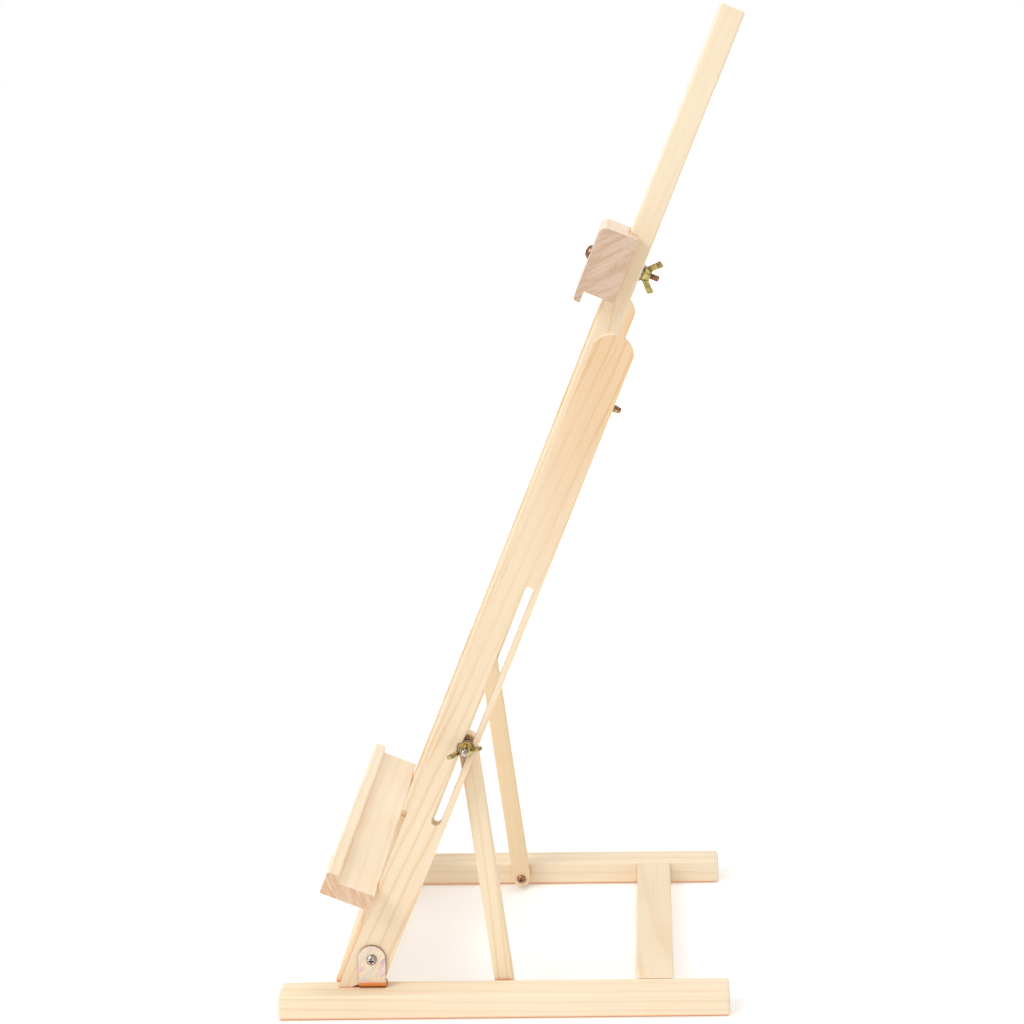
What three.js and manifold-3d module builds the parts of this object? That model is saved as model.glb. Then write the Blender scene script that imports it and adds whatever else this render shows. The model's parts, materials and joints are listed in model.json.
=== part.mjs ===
import * as THREE from 'three';
import { mergeVertices } from 'three/addons/utils/BufferGeometryUtils.js';
import Module from 'manifold-3d';

// Tabletop wooden easel: a base of two rails, a tilting frame on hinge brackets, a sliding mast
// with an adjustable canvas clamp, a fixed tray, and two struts that lock in slots of the frame.
// Millimetres, +Z up, +X to the easel's right side, front of the easel toward -Y.

const wasm = await Module();
wasm.setup();

// ---- stock and clearances ------------------------------------------------------------------
const GAP = 0.3;                 // air between two pieces that touch in life
const STOCK_WIDE = 27;           // pine stock used for rails, base crossbar and mast
const STOCK_THICK = 18;
const EASE = 1.8;                // eased edge of the crossbars
const RAIL_EASE = 2.2;
const ROUND_STEPS = 3;

// ---- base ----------------------------------------------------------------------------------
const RAIL_LENGTH = 320.5;
const BASE_WIDTH = 289;                          // over the outer faces of the rails
const RAIL_X = (BASE_WIDTH - STOCK_WIDE) / 2;
const RAIL_INNER_X = BASE_WIDTH / 2 - STOCK_WIDE;
const BASE_BAR_Y = 107;                          // centre of the rear crossbar
const BASE_BAR_HEIGHT = 17.6;
const DOWEL_RADIUS = 3;
const DOWEL_LENGTH = 26;

// ---- tilting frame -------------------------------------------------------------------------
const LEAN = THREE.MathUtils.degToRad(22);       // frame leans back from upright
const PIVOT_Y = -94.5;
const PIVOT_Z = STOCK_THICK + 21.5;
const UPRIGHT_THICK = 11.7;
const UPRIGHT_OUTER_X = 129;
const UPRIGHT_INNER_X = UPRIGHT_OUTER_X - UPRIGHT_THICK;
const UPRIGHT_FRONT = 14.6;                      // pivot line to front edge
const UPRIGHT_REAR = 14.1;                       // pivot line to rear edge
const UPRIGHT_TOP = 480;                         // crown of the rounded top above the pivot
const TOP_RADIUS = 15;
const UPRIGHT_EASE = 2.4;
const TOE_FLAT = 15.4;                           // the foot stands on the rail ahead of this
const TOE_SLOPE = 10.7;                          // and has risen to clear the bracket here
const SLOT_OFFSET = 6.3;                         // slot centre behind the pivot line
const SLOT_WIDTH = 6.8;
const SLOT_LOW = 109.6;
const SLOT_HIGH = 295;

const FOOT_BAR_LOW = -31;
const FOOT_BAR_HIGH = 18;
const FOOT_BAR_FRONT = 18;
const HEAD_BAR_CENTRE = 413;
const HEAD_BAR_HEIGHT = 27;
const HEAD_BAR_REAR = 10.8;

// ---- tray ----------------------------------------------------------------------------------
const TRAY_LENGTH = 296;
const TRAY_UNDER = 41;
const TRAY_FLOOR = 52.6;
const TRAY_LIP = 57.8;
const TRAY_DEPTH = 37.1;
const TRAY_LIP_THICK = 8.8;

// ---- mast and clamp ------------------------------------------------------------------------
const MAST_FRONT = 16;
const MAST_REAR = 2;                             // behind the pivot line
const MAST_LOW = 69.3;
const MAST_HIGH = 712.5;
const MAST_SLOT = 6.8;
const LOWER_SLOT = [96, 434];
const UPPER_SLOT = [450, 694];
const GROOVE_WIDTH = 12.4;                       // sinks the lock bolt's head into the mast
const GROOVE_DEPTH = 4.2;
const CLAMP_CENTRE = 513.3;
const CLAMP_LENGTH = 90;
const CLAMP_BACK = 9.7;
const CLAMP_FRONT = 37.6;
const CLAMP_UP = 24.3;
const CLAMP_DOWN = 23.8;
const CLAMP_LIP_DROP = 8.4;
const CLAMP_LIP_THICK = 5.6;

// ---- struts --------------------------------------------------------------------------------
const STRUT_WIDTH = 13.6;
const STRUT_THICK = 11.4;
const STRUT_OUTER_X = RAIL_INNER_X - 1.3;
const STRUT_INNER_X = STRUT_OUTER_X - STRUT_THICK;
const STRUT_FOOT_Y = -1;
const STRUT_FOOT_Z = 9.3;
const STRUT_BOLT_S = 170.8;                      // rest place of the slot bolt along the frame

// ---- hardware ------------------------------------------------------------------------------
const PLATE = 1.5;
const BRACKET_WIDTH = 19.4;
const BRACKET_RISE = 31.7;
const BOLT_RADIUS = 2.4;
const WASHER_RADIUS = 6.4;
const WASHER_THICK = 1.1;
const NUT_HUB_RADIUS = 5.8;
const NUT_HUB_HEIGHT = 5.9;

// ---- materials -----------------------------------------------------------------------------
function paint(name, color, roughness, metalness) {
  const made = new THREE.MeshStandardMaterial({ color, roughness, metalness });
  made.name = name;
  return made;
}
const PINE = paint('pine', '#ecd3a6', 0.72, 0);
const PINE_WARM = paint('pine_warm', '#dfbd8b', 0.74, 0);
const BEECH = paint('dowel_beech', '#cda476', 0.7, 0);
const ZINC = paint('zinc_plate', '#b9b7c4', 0.32, 0.9);
const STEEL = paint('screw_steel', '#c3c5c8', 0.3, 0.95);
const BRASS = paint('wing_nut_brass', '#c2ad55', 0.34, 0.9);

// ---- solids --------------------------------------------------------------------------------
function toSolid(geometry) {
  const bare = new THREE.BufferGeometry();
  bare.setAttribute('position', geometry.getAttribute('position'));
  if (geometry.index) bare.setIndex(geometry.index);
  const merged = mergeVertices(bare, 1e-4);
  const vertProperties = new Float32Array(merged.getAttribute('position').array);
  const triVerts = new Uint32Array(merged.index.array);
  return new wasm.Manifold(new wasm.Mesh({ numProp: 3, vertProperties, triVerts }));
}

function toGeometry(solid) {
  const mesh = solid.getMesh();
  const geometry = new THREE.BufferGeometry();
  const spots = new Float32Array(mesh.numVert * 3);
  for (let i = 0; i < mesh.numVert; i += 1) {
    for (let k = 0; k < 3; k += 1) {
      spots[3 * i + k] = mesh.vertProperties[mesh.numProp * i + k];
    }
  }
  geometry.setAttribute('position', new THREE.BufferAttribute(spots, 3));
  geometry.setIndex(new THREE.BufferAttribute(new Uint32Array(mesh.triVerts), 1));
  const flat = geometry.toNonIndexed();
  flat.computeVertexNormals();
  return flat;
}

function cut(solid, ...tools) {
  return tools.reduce((left, tool) => left.subtract(tool), solid);
}

function join(solid, ...others) {
  return others.reduce((left, other) => left.add(other), solid);
}

const AXES = {
  x: new THREE.Matrix4().makeBasis(
    new THREE.Vector3(0, 1, 0), new THREE.Vector3(0, 0, 1), new THREE.Vector3(1, 0, 0)),
  y: new THREE.Matrix4().makeBasis(
    new THREE.Vector3(0, 0, 1), new THREE.Vector3(1, 0, 0), new THREE.Vector3(0, 1, 0)),
  z: new THREE.Matrix4(),
};

// A lathe-turned solid whose profile [radius, height] points run along `axis` from `at`.
function turned(profile, axis, at, steps = 24) {
  const points = profile.map(([radius, height]) => new THREE.Vector2(radius, height));
  const geometry = new THREE.LatheGeometry(points, steps);
  geometry.rotateX(Math.PI / 2);
  geometry.applyMatrix4(AXES[axis]);
  geometry.translate(at[0], at[1], at[2]);
  return toSolid(geometry);
}

function rod(radius, from, to, axis, at, steps = 20) {
  return turned([[0, from], [radius, from], [radius, to], [0, to]], axis, at, steps);
}

function block(size, at) {
  const geometry = new THREE.BoxGeometry(size[0], size[1], size[2]);
  geometry.translate(at[0], at[1], at[2]);
  return toSolid(geometry);
}

function arcThrough(shape, x, y, radius, from, to, steps) {
  for (let i = 0; i <= steps; i += 1) {
    const angle = from + (to - from) * i / steps;
    shape.lineTo(x + radius * Math.cos(angle), y + radius * Math.sin(angle));
  }
}

function roundedRect(width, height, radius) {
  const shape = new THREE.Shape();
  const x = width / 2;
  const y = height / 2;
  shape.moveTo(-x + radius, -y);
  shape.lineTo(x - radius, -y);
  shape.absarc(x - radius, -y + radius, radius, -Math.PI / 2, 0, false);
  shape.lineTo(x, y - radius);
  shape.absarc(x - radius, y - radius, radius, 0, Math.PI / 2, false);
  shape.lineTo(-x + radius, y);
  shape.absarc(-x + radius, y - radius, radius, Math.PI / 2, Math.PI, false);
  shape.lineTo(-x, -y + radius);
  shape.absarc(-x + radius, -y + radius, radius, Math.PI, 1.5 * Math.PI, false);
  return shape;
}

// Pushes a profile along `axis`, centred on zero, its two end outlines eased by `ease`.
function pushed(shape, length, ease, axis, steps = ROUND_STEPS) {
  const geometry = new THREE.ExtrudeGeometry(shape, {
    depth: length - 2 * ease,
    bevelEnabled: ease > 0,
    bevelThickness: ease,
    bevelSize: ease,
    bevelOffset: -ease,
    bevelSegments: steps,
    curveSegments: ROUND_STEPS,
  });
  geometry.translate(0, 0, ease - length / 2);
  geometry.applyMatrix4(AXES[axis]);
  return geometry;
}

// A bar of square stock: `wide` and `thick` follow the two axes after `axis` in x, y, z order.
function bar(wide, thick, length, axis, at, ease) {
  const geometry = pushed(roundedRect(wide, thick, ease + 0.2), length, ease, axis, 1);
  geometry.translate(at[0], at[1], at[2]);
  return toSolid(geometry);
}

// A straight slot of the given width with round ends, cut along z and through along y.
function slotTool(width, low, high, depthFrom, depthTo) {
  const shape = new THREE.Shape();
  const r = width / 2;
  shape.absarc(0, low + r, r, Math.PI, 2 * Math.PI, false);
  shape.absarc(0, high - r, r, 0, Math.PI, false);
  const geometry = new THREE.ExtrudeGeometry(shape, {
    depth: depthTo - depthFrom, bevelEnabled: false, curveSegments: 8,
  });
  geometry.rotateX(Math.PI / 2);
  geometry.translate(0, depthTo, 0);
  return geometry;
}

function crossRecess(radius, depth, axis, at) {
  const slim = radius * 0.3;
  const long = radius * 1.15;
  const sizes = {
    x: [[2 * depth, long, slim], [2 * depth, slim, long]],
    y: [[long, 2 * depth, slim], [slim, 2 * depth, long]],
    z: [[long, slim, 2 * depth], [slim, long, 2 * depth]],
  };
  return join(block(sizes[axis][0], at), block(sizes[axis][1], at));
}

// Mirrors a solid made for the easel's right side when the side is the left one.
function onSide(solid, side) {
  return side > 0 ? solid : solid.mirror([1, 0, 0]);
}

// ---- nodes ---------------------------------------------------------------------------------
function place(parent, name, solid, material) {
  const mesh = new THREE.Mesh(toGeometry(solid), material);
  mesh.name = name;
  parent.add(mesh);
  return mesh;
}

const SIDES = [['right', 1], ['left', -1]];

// ---- base pieces ---------------------------------------------------------------------------
const BASE_DOWEL_YS = [BASE_BAR_Y - 7, BASE_BAR_Y + 7];
const BASE_DOWEL_Z = BASE_BAR_HEIGHT / 2;

function dowelHole(length, at) {
  return rod(DOWEL_RADIUS + GAP, -length / 2 - 1, length / 2 + 1, 'x', at, 16);
}

function dowel(length, at) {
  const half = length / 2;
  const profile = [
    [0, -half], [DOWEL_RADIUS - 0.7, -half], [DOWEL_RADIUS, 0.9 - half],
    [DOWEL_RADIUS, half - 0.9], [DOWEL_RADIUS - 0.7, half], [0, half],
  ];
  return turned(profile, 'x', at, 16);
}

function makeRail() {
  const rail = bar(STOCK_WIDE, STOCK_THICK, RAIL_LENGTH, 'y', [0, 0, 0], RAIL_EASE)
    .rotate([0, 90, 0]).translate([RAIL_X, 0, STOCK_THICK / 2]);
  const holes = BASE_DOWEL_YS.map(
    (y) => dowelHole(DOWEL_LENGTH, [RAIL_INNER_X, y, BASE_DOWEL_Z]));
  const plateHole = rod(1.8, -15, 1, 'z', [BRACKET_SCREW_X, PIVOT_Y, STOCK_THICK], 16);
  const strutHole = rod(2.3, -1, 17, 'x', [RAIL_INNER_X, STRUT_FOOT_Y, STRUT_FOOT_Z], 16);
  return cut(rail, ...holes, plateHole, strutHole);
}

function makeBaseBar() {
  const length = 2 * (RAIL_INNER_X - GAP);
  const shape = roundedRect(STOCK_WIDE, BASE_BAR_HEIGHT, EASE);
  const geometry = pushed(shape, length, 0, 'x');
  geometry.translate(0, BASE_BAR_Y, BASE_BAR_HEIGHT / 2);
  const holes = SIDES.flatMap(([, side]) => BASE_DOWEL_YS.map(
    (y) => dowelHole(DOWEL_LENGTH, [side * RAIL_INNER_X, y, BASE_DOWEL_Z])));
  return cut(toSolid(geometry), ...holes);
}

// ---- hinge brackets ------------------------------------------------------------------------
const BRACKET_X = UPRIGHT_OUTER_X + GAP;         // inner face of the standing leg
const BRACKET_SCREW_X = 123.4;

// The standing leg's outline: square foot, round head about the pivot.
function bracketLeg() {
  const r = BRACKET_WIDTH / 2;
  const shape = new THREE.Shape();
  shape.moveTo(-r, 0);
  shape.lineTo(r, 0);
  shape.lineTo(r, BRACKET_RISE - r);
  shape.absarc(0, BRACKET_RISE - r, r, 0, Math.PI, false);
  const geometry = new THREE.ExtrudeGeometry(shape, {
    depth: PLATE, bevelEnabled: false, curveSegments: 12,
  });
  geometry.applyMatrix4(AXES.x);
  geometry.translate(BRACKET_X, PIVOT_Y, STOCK_THICK + GAP);
  return toSolid(geometry);
}

// The bracket lies under the upright with a rounded bend at its outer corner.
function makeBracket() {
  const low = STOCK_THICK + GAP;
  const inner = RAIL_INNER_X + 0.6;
  const outer = BRACKET_X + PLATE;
  const flat = block([outer - inner, BRACKET_WIDTH, PLATE],
    [(outer + inner) / 2, PIVOT_Y, low + PLATE / 2]);
  const corner = block([1.2, BRACKET_WIDTH + 2, 1.2], [outer, PIVOT_Y, low])
    .subtract(rod(1.2, -BRACKET_WIDTH, BRACKET_WIDTH, 'y', [outer - 1.2, PIVOT_Y, low + 1.2], 24));
  const pivotHole = rod(2.3, -1, PLATE + 1, 'x', [BRACKET_X, PIVOT_Y, PIVOT_Z], 20);
  const sink = turned([[0, -1], [2, -1], [2, 0], [3.5, PLATE], [3.5, PLATE + 1], [0, PLATE + 1]],
    'z', [BRACKET_SCREW_X, PIVOT_Y, low], 20);
  return cut(join(bracketLeg(), flat), corner, pivotHole, sink);
}

function makeBracketScrew() {
  const top = STOCK_THICK + GAP + PLATE;
  const profile = [
    [0, -14], [0.5, -13], [1.45, -10], [1.45, -PLATE], [2.9, -0.1], [2.9, 0], [0, 0],
  ];
  const screw = turned(profile, 'z', [BRACKET_SCREW_X, PIVOT_Y, top], 16);
  return cut(screw, crossRecess(2, 0.7, 'z', [BRACKET_SCREW_X, PIVOT_Y, top]));
}

// Pan head outside the bracket, shank through bracket and upright: the frame turns on it.
function makePivotScrew() {
  const seat = BRACKET_X + PLATE + 0.1;
  const profile = [
    [0, -11.4], [1.2, -10.9], [1.95, -9.6], [1.95, 0], [3.75, 0],
    [3.75, 1], [3.2, 2.1], [2.2, 2.6], [0, 2.8],
  ];
  const screw = turned(profile, 'x', [seat, PIVOT_Y, PIVOT_Z], 24);
  return cut(screw, crossRecess(2.2, 1, 'x', [seat + 2.8, PIVOT_Y, PIVOT_Z]));
}

// ---- frame pieces, in frame coordinates: z up the boards, y to the rear, zero at the pivot --
// Carries a point given level and plumb from the pivot into the leaning frame.
function leaned(y, z) {
  return [
    y * Math.cos(LEAN) - z * Math.sin(LEAN),
    y * Math.sin(LEAN) + z * Math.cos(LEAN),
  ];
}

// Side outline of an upright: the toe stands level on the rail in front of the bracket, the heel
// is rounded about the pivot so it can swing over the bracket, and the top is rounded.
function uprightShape() {
  const reach = PIVOT_Z - STOCK_THICK - PLATE - 2 * GAP;
  const sole = PIVOT_Z - STOCK_THICK - GAP;
  const turnFrom = -Math.PI / 2 + LEAN;
  const turnTo = -Math.acos(UPRIGHT_REAR / reach);
  const crown = UPRIGHT_TOP - TOP_RADIUS;
  const arcFrom = Math.acos(UPRIGHT_REAR / TOP_RADIUS);
  const arcTo = Math.PI - Math.acos(UPRIGHT_FRONT / TOP_RADIUS);
  const shape = new THREE.Shape();
  shape.moveTo(-UPRIGHT_FRONT, (-sole - UPRIGHT_FRONT * Math.sin(LEAN)) / Math.cos(LEAN));
  shape.lineTo(...leaned(-TOE_FLAT, -sole));
  shape.lineTo(...leaned(-TOE_SLOPE, -reach));
  arcThrough(shape, 0, 0, reach, turnFrom, turnTo, 4);
  arcThrough(shape, 0, crown, TOP_RADIUS, arcFrom, arcTo, 14);
  return shape;
}

const TRAY_SCREW_S = (TRAY_UNDER + TRAY_FLOOR) / 2;
const UPRIGHT_MID_X = (UPRIGHT_INNER_X + UPRIGHT_OUTER_X) / 2;

function makeUpright() {
  const geometry = new THREE.ExtrudeGeometry(uprightShape(), {
    depth: UPRIGHT_THICK - 2 * UPRIGHT_EASE,
    bevelEnabled: true,
    bevelThickness: UPRIGHT_EASE,
    bevelSize: UPRIGHT_EASE,
    bevelOffset: -UPRIGHT_EASE,
    bevelSegments: 3,
    curveSegments: 10,
  });
  geometry.applyMatrix4(AXES.x);
  geometry.translate(UPRIGHT_INNER_X + UPRIGHT_EASE, 0, 0);
  const slot = toSolid(slotTool(SLOT_WIDTH, SLOT_LOW, SLOT_HIGH, -20, 20)).rotate([0, 0, 90])
    .translate([UPRIGHT_MID_X, SLOT_OFFSET, 0]);
  const pivotHole = rod(2.3, -11.8, 3, 'x', [UPRIGHT_OUTER_X, 0, 0], 20);
  const dowelHoles = frameDowelSpots().map(([y, z]) => rod(DOWEL_RADIUS + GAP, -1, 8.4, 'x',
    [UPRIGHT_INNER_X, y, z], 16));
  const trayHole = rod(2.2, -20, 20, 'y', [UPRIGHT_MID_X, 0, TRAY_SCREW_S], 16);
  const traySink = turned([[0, -3], [2.2, -3], [4.4, 0], [4.4, 2], [0, 2]], 'y',
    [UPRIGHT_MID_X, UPRIGHT_REAR, TRAY_SCREW_S], 20);
  return cut(toSolid(geometry), slot, pivotHole, ...dowelHoles, trayHole, traySink);
}

const FRAME_DOWEL = 22;
const FRAME_DOWEL_X = UPRIGHT_INNER_X - 3.4;

// Places [y, z] of one side's dowels: two in the foot crossbar, two in the head crossbar.
function frameDowelSpots() {
  const foot = -7.4;
  const head = HEAD_BAR_REAR - STOCK_THICK / 2;
  return [
    [foot, -9], [foot, 9],
    [head, HEAD_BAR_CENTRE - 7], [head, HEAD_BAR_CENTRE + 7],
  ];
}

function frameDowelHoles() {
  return SIDES.flatMap(([, side]) => frameDowelSpots().map(
    ([y, z]) => dowelHole(FRAME_DOWEL, [side * FRAME_DOWEL_X, y, z])));
}

function crossbar(low, high, front) {
  const shape = roundedRect(STOCK_THICK, high - low, EASE);
  const geometry = pushed(shape, 2 * (UPRIGHT_INNER_X - GAP), 0, 'x');
  geometry.translate(0, STOCK_THICK / 2 - front, (low + high) / 2);
  return toSolid(geometry);
}

function makeFootBar() {
  return cut(crossbar(FOOT_BAR_LOW, FOOT_BAR_HIGH, FOOT_BAR_FRONT), ...frameDowelHoles());
}

// The head bar is housed out for the mast, which slides in it.
function makeHeadBar() {
  const half = HEAD_BAR_HEIGHT / 2;
  const made = crossbar(HEAD_BAR_CENTRE - half, HEAD_BAR_CENTRE + half, STOCK_THICK - HEAD_BAR_REAR);
  const housing = block([STOCK_WIDE + 1, 30, HEAD_BAR_HEIGHT + 4],
    [0, MAST_REAR + GAP - 15, HEAD_BAR_CENTRE]);
  const boltHole = rod(BOLT_RADIUS + 0.4, -20, 20, 'y', [0, 0, HEAD_BAR_CENTRE], 20);
  return cut(made, housing, boltHole, ...frameDowelHoles());
}

// ---- tray ----------------------------------------------------------------------------------
function trayShape() {
  const back = -UPRIGHT_FRONT - GAP;
  const front = back - TRAY_DEPTH;
  const r = 1.6;
  const shape = new THREE.Shape();
  shape.moveTo(front + r, TRAY_UNDER);
  shape.lineTo(back - 1, TRAY_UNDER);
  shape.lineTo(back, TRAY_UNDER + 1);
  shape.lineTo(back, TRAY_FLOOR - 1);
  shape.lineTo(back - 1, TRAY_FLOOR);
  shape.lineTo(front + TRAY_LIP_THICK + 0.8, TRAY_FLOOR);
  shape.lineTo(front + TRAY_LIP_THICK, TRAY_FLOOR + 0.8);
  shape.lineTo(front + TRAY_LIP_THICK, TRAY_LIP - r);
  shape.absarc(front + TRAY_LIP_THICK - r, TRAY_LIP - r, r, 0, Math.PI / 2, false);
  shape.lineTo(front + r, TRAY_LIP);
  shape.absarc(front + r, TRAY_LIP - r, r, Math.PI / 2, Math.PI, false);
  shape.lineTo(front, TRAY_UNDER + r);
  shape.absarc(front + r, TRAY_UNDER + r, r, Math.PI, 1.5 * Math.PI, false);
  return shape;
}

function makeTray() {
  const geometry = pushed(trayShape(), TRAY_LENGTH, 0.7, 'x', 1);
  const holes = SIDES.map(([, side]) => rod(1.9, -34, 0, 'y',
    [side * UPRIGHT_MID_X, 0, TRAY_SCREW_S], 16));
  return cut(toSolid(geometry), ...holes);
}

function makeTrayScrew() {
  const head = UPRIGHT_REAR - 0.4;
  const profile = [
    [0, -42], [0.5, -41], [1.55, -37], [1.55, -2.9], [3.9, -0.2], [3.9, 0], [0, 0],
  ];
  const at = [UPRIGHT_MID_X, head, TRAY_SCREW_S];
  return cut(turned(profile, 'y', at, 20), crossRecess(2.6, 1.2, 'y', at));
}

// ---- mast ----------------------------------------------------------------------------------
function makeMast() {
  const deep = MAST_FRONT + MAST_REAR;
  const shape = roundedRect(STOCK_WIDE, deep, 1.6);
  const geometry = pushed(shape, MAST_HIGH - MAST_LOW, 1.2, 'z', 1);
  geometry.translate(0, MAST_REAR - deep / 2, (MAST_HIGH + MAST_LOW) / 2);
  const slots = [LOWER_SLOT, UPPER_SLOT].map(
    ([low, high]) => toSolid(slotTool(MAST_SLOT, low, high, -40, 40)));
  const wider = (GROOVE_WIDTH - MAST_SLOT) / 2;
  const groove = toSolid(slotTool(GROOVE_WIDTH, LOWER_SLOT[0] - wider, LOWER_SLOT[1] + wider,
    -40, GROOVE_DEPTH - MAST_FRONT));
  return cut(toSolid(geometry), ...slots, groove);
}

// ---- bolts, washers and wing nuts, made along y (rearward) ---------------------------------
// A domed bolt: head in front of `seat`, thread end at `end`.
function domedBolt(seat, end, z) {
  const profile = [
    [0, seat - 3.4], [1.9, seat - 3.2], [3.7, seat - 2.5], [5, seat - 1.4],
    [5.6, seat - 0.5], [5.6, seat],
    [BOLT_RADIUS, seat], [BOLT_RADIUS, end - 1.2],
    [BOLT_RADIUS - 0.9, end - 0.3], [0, end],
  ];
  return turned(profile, 'y', [0, 0, z], 24);
}

function washer(from, z) {
  const disc = turned([[0, 0], [WASHER_RADIUS, 0], [WASHER_RADIUS, WASHER_THICK],
    [0, WASHER_THICK]], 'y', [0, from, z], 28);
  return cut(disc, rod(BOLT_RADIUS + GAP, -1, WASHER_THICK + 1, 'y', [0, from, z], 20));
}

// One ear of a wing nut: a flat blade that leaves the hub and flares up and outward.
function ear(side) {
  const shape = new THREE.Shape();
  shape.moveTo(side * 3.2, 1);
  shape.lineTo(side * 5.8, 1.6);
  shape.lineTo(side * 12.2, 7.6);
  shape.lineTo(side * 12.7, 9);
  shape.lineTo(side * 10.2, 12);
  shape.lineTo(side * 9, 11.8);
  shape.lineTo(side * 3.2, 5.4);
  const geometry = new THREE.ExtrudeGeometry(shape, {
    depth: 1.2, bevelEnabled: true, bevelThickness: 0.4, bevelSize: 0.4,
    bevelOffset: -0.4, bevelSegments: 1,
  });
  geometry.translate(0, 0, -0.6);
  return toSolid(geometry);
}

// Wing nut with its bore along y, its seat at `from`, ears at `turn` degrees from x.
function wingNut(from, z, turn) {
  const hub = toSolid(new THREE.LatheGeometry([
    new THREE.Vector2(0, 0), new THREE.Vector2(NUT_HUB_RADIUS, 0),
    new THREE.Vector2(NUT_HUB_RADIUS, 1.2), new THREE.Vector2(5, 2.4),
    new THREE.Vector2(4.3, NUT_HUB_HEIGHT - 0.4), new THREE.Vector2(3.9, NUT_HUB_HEIGHT),
    new THREE.Vector2(0, NUT_HUB_HEIGHT),
  ], 24));
  const bore = toSolid(new THREE.CylinderGeometry(BOLT_RADIUS + GAP, BOLT_RADIUS + GAP, 40, 20));
  return cut(join(hub, ear(1), ear(-1)), bore).rotate([0, turn, 0]).translate([0, from, z]);
}

const LOCK_SEAT = HEAD_BAR_REAR + 0.2;
const CLAMP_SEAT = MAST_REAR + 0.2;

function makeClampBlock() {
  const back = -CLAMP_BACK;
  const front = -CLAMP_FRONT;
  const low = CLAMP_CENTRE - CLAMP_DOWN;
  const high = CLAMP_CENTRE + CLAMP_UP;
  const r = 5.5;
  const shape = new THREE.Shape();
  shape.moveTo(back, low);
  shape.lineTo(back, high - 1.2);
  shape.lineTo(back - 1.2, high);
  shape.lineTo(front + r, high);
  shape.absarc(front + r, high - r, r, Math.PI / 2, Math.PI, false);
  shape.lineTo(front, low - CLAMP_LIP_DROP + 2.2);
  shape.absarc(front + 2.2, low - CLAMP_LIP_DROP + 2.2, 2.2, Math.PI, 1.5 * Math.PI, false);
  shape.lineTo(front + CLAMP_LIP_THICK - 1.2, low - CLAMP_LIP_DROP);
  shape.lineTo(front + CLAMP_LIP_THICK, low - CLAMP_LIP_DROP + 1.2);
  shape.lineTo(front + CLAMP_LIP_THICK, low - 0.6);
  shape.lineTo(front + CLAMP_LIP_THICK + 0.6, low);
  const geometry = pushed(shape, CLAMP_LENGTH, 1, 'x', 1);
  const housing = block([STOCK_WIDE + 1, 2 * (MAST_FRONT + GAP - CLAMP_BACK), 80],
    [0, back, CLAMP_CENTRE]);
  const boltHole = rod(BOLT_RADIUS + 0.4, -60, 10, 'y', [0, 0, CLAMP_CENTRE], 20);
  return cut(toSolid(geometry), housing, boltHole);
}

// ---- struts, laid out in the side plane between foot pivot and slot bolt --------------------
const UP = [Math.sin(LEAN), Math.cos(LEAN)];
const BOLT_Y = PIVOT_Y + STRUT_BOLT_S * UP[0] + SLOT_OFFSET * UP[1];
const BOLT_Z = PIVOT_Z + STRUT_BOLT_S * UP[1] - SLOT_OFFSET * UP[0];
const STRUT_REACH = Math.hypot(BOLT_Y - STRUT_FOOT_Y, BOLT_Z - STRUT_FOOT_Z);
const STRUT_TILT = Math.atan2(BOLT_Z - STRUT_FOOT_Z, BOLT_Y - STRUT_FOOT_Y) - Math.PI / 2;

function makeStrut() {
  const r = STRUT_WIDTH / 2;
  const shape = new THREE.Shape();
  shape.absarc(0, 0, r, Math.PI, 2 * Math.PI, false);
  shape.absarc(0, STRUT_REACH, r, 0, Math.PI, false);
  const geometry = new THREE.ExtrudeGeometry(shape, {
    depth: STRUT_THICK - 2.4, bevelEnabled: true, bevelThickness: 1.2, bevelSize: 1.2,
    bevelOffset: -1.2, bevelSegments: 2, curveSegments: 10,
  });
  geometry.applyMatrix4(AXES.x);
  geometry.translate(STRUT_INNER_X + 1.2, 0, 0);
  geometry.rotateX(STRUT_TILT);
  geometry.translate(0, STRUT_FOOT_Y, STRUT_FOOT_Z);
  const low = rod(2.4, -2, STRUT_THICK + 2, 'x', [STRUT_INNER_X, STRUT_FOOT_Y, STRUT_FOOT_Z], 20);
  const high = rod(BOLT_RADIUS + 0.4, -2, STRUT_THICK + 2, 'x',
    [STRUT_INNER_X, BOLT_Y, BOLT_Z], 20);
  return cut(toSolid(geometry), low, high);
}

// Wood screw from the strut's inner face into the rail; the strut turns on it.
function makeStrutScrew() {
  const profile = [
    [0, -2.5], [1.8, -2.3], [3, -1.6], [3.6, -0.6], [3.6, 0], [1.95, 0],
    [1.95, 23], [1.3, 26.4], [0, 27.6],
  ];
  const at = [STRUT_INNER_X - 0.2, STRUT_FOOT_Y, STRUT_FOOT_Z];
  const tip = [at[0] - 2.5, at[1], at[2]];
  return cut(turned(profile, 'x', at, 24), crossRecess(2.2, 0.9, 'x', tip));
}

function makeStrutWasher() {
  const at = [STRUT_OUTER_X + 0.2, STRUT_FOOT_Y, STRUT_FOOT_Z];
  const disc = rod(5.4, 0, 0.9, 'x', at, 24);
  return cut(disc, rod(2.4, -1, 2, 'x', at, 20));
}

// The slot bolt is made in two lengths: the head end stays in the strut, the thread end rides
// in the upright's slot with the washer and wing nut.
function makeBoltHead() {
  const seat = STRUT_INNER_X - 0.2;
  const length = STRUT_OUTER_X - seat - 0.3;
  const profile = [
    [0, -3.3], [1.9, -3.1], [3.9, -2.2], [5, -1], [5.2, -0.3], [5.2, 0],
    [BOLT_RADIUS, 0], [BOLT_RADIUS, length], [0, length],
  ];
  return turned(profile, 'x', [seat, BOLT_Y, BOLT_Z], 24);
}

const SLOT_BOLT_END = UPRIGHT_OUTER_X + 13.4;

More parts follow.
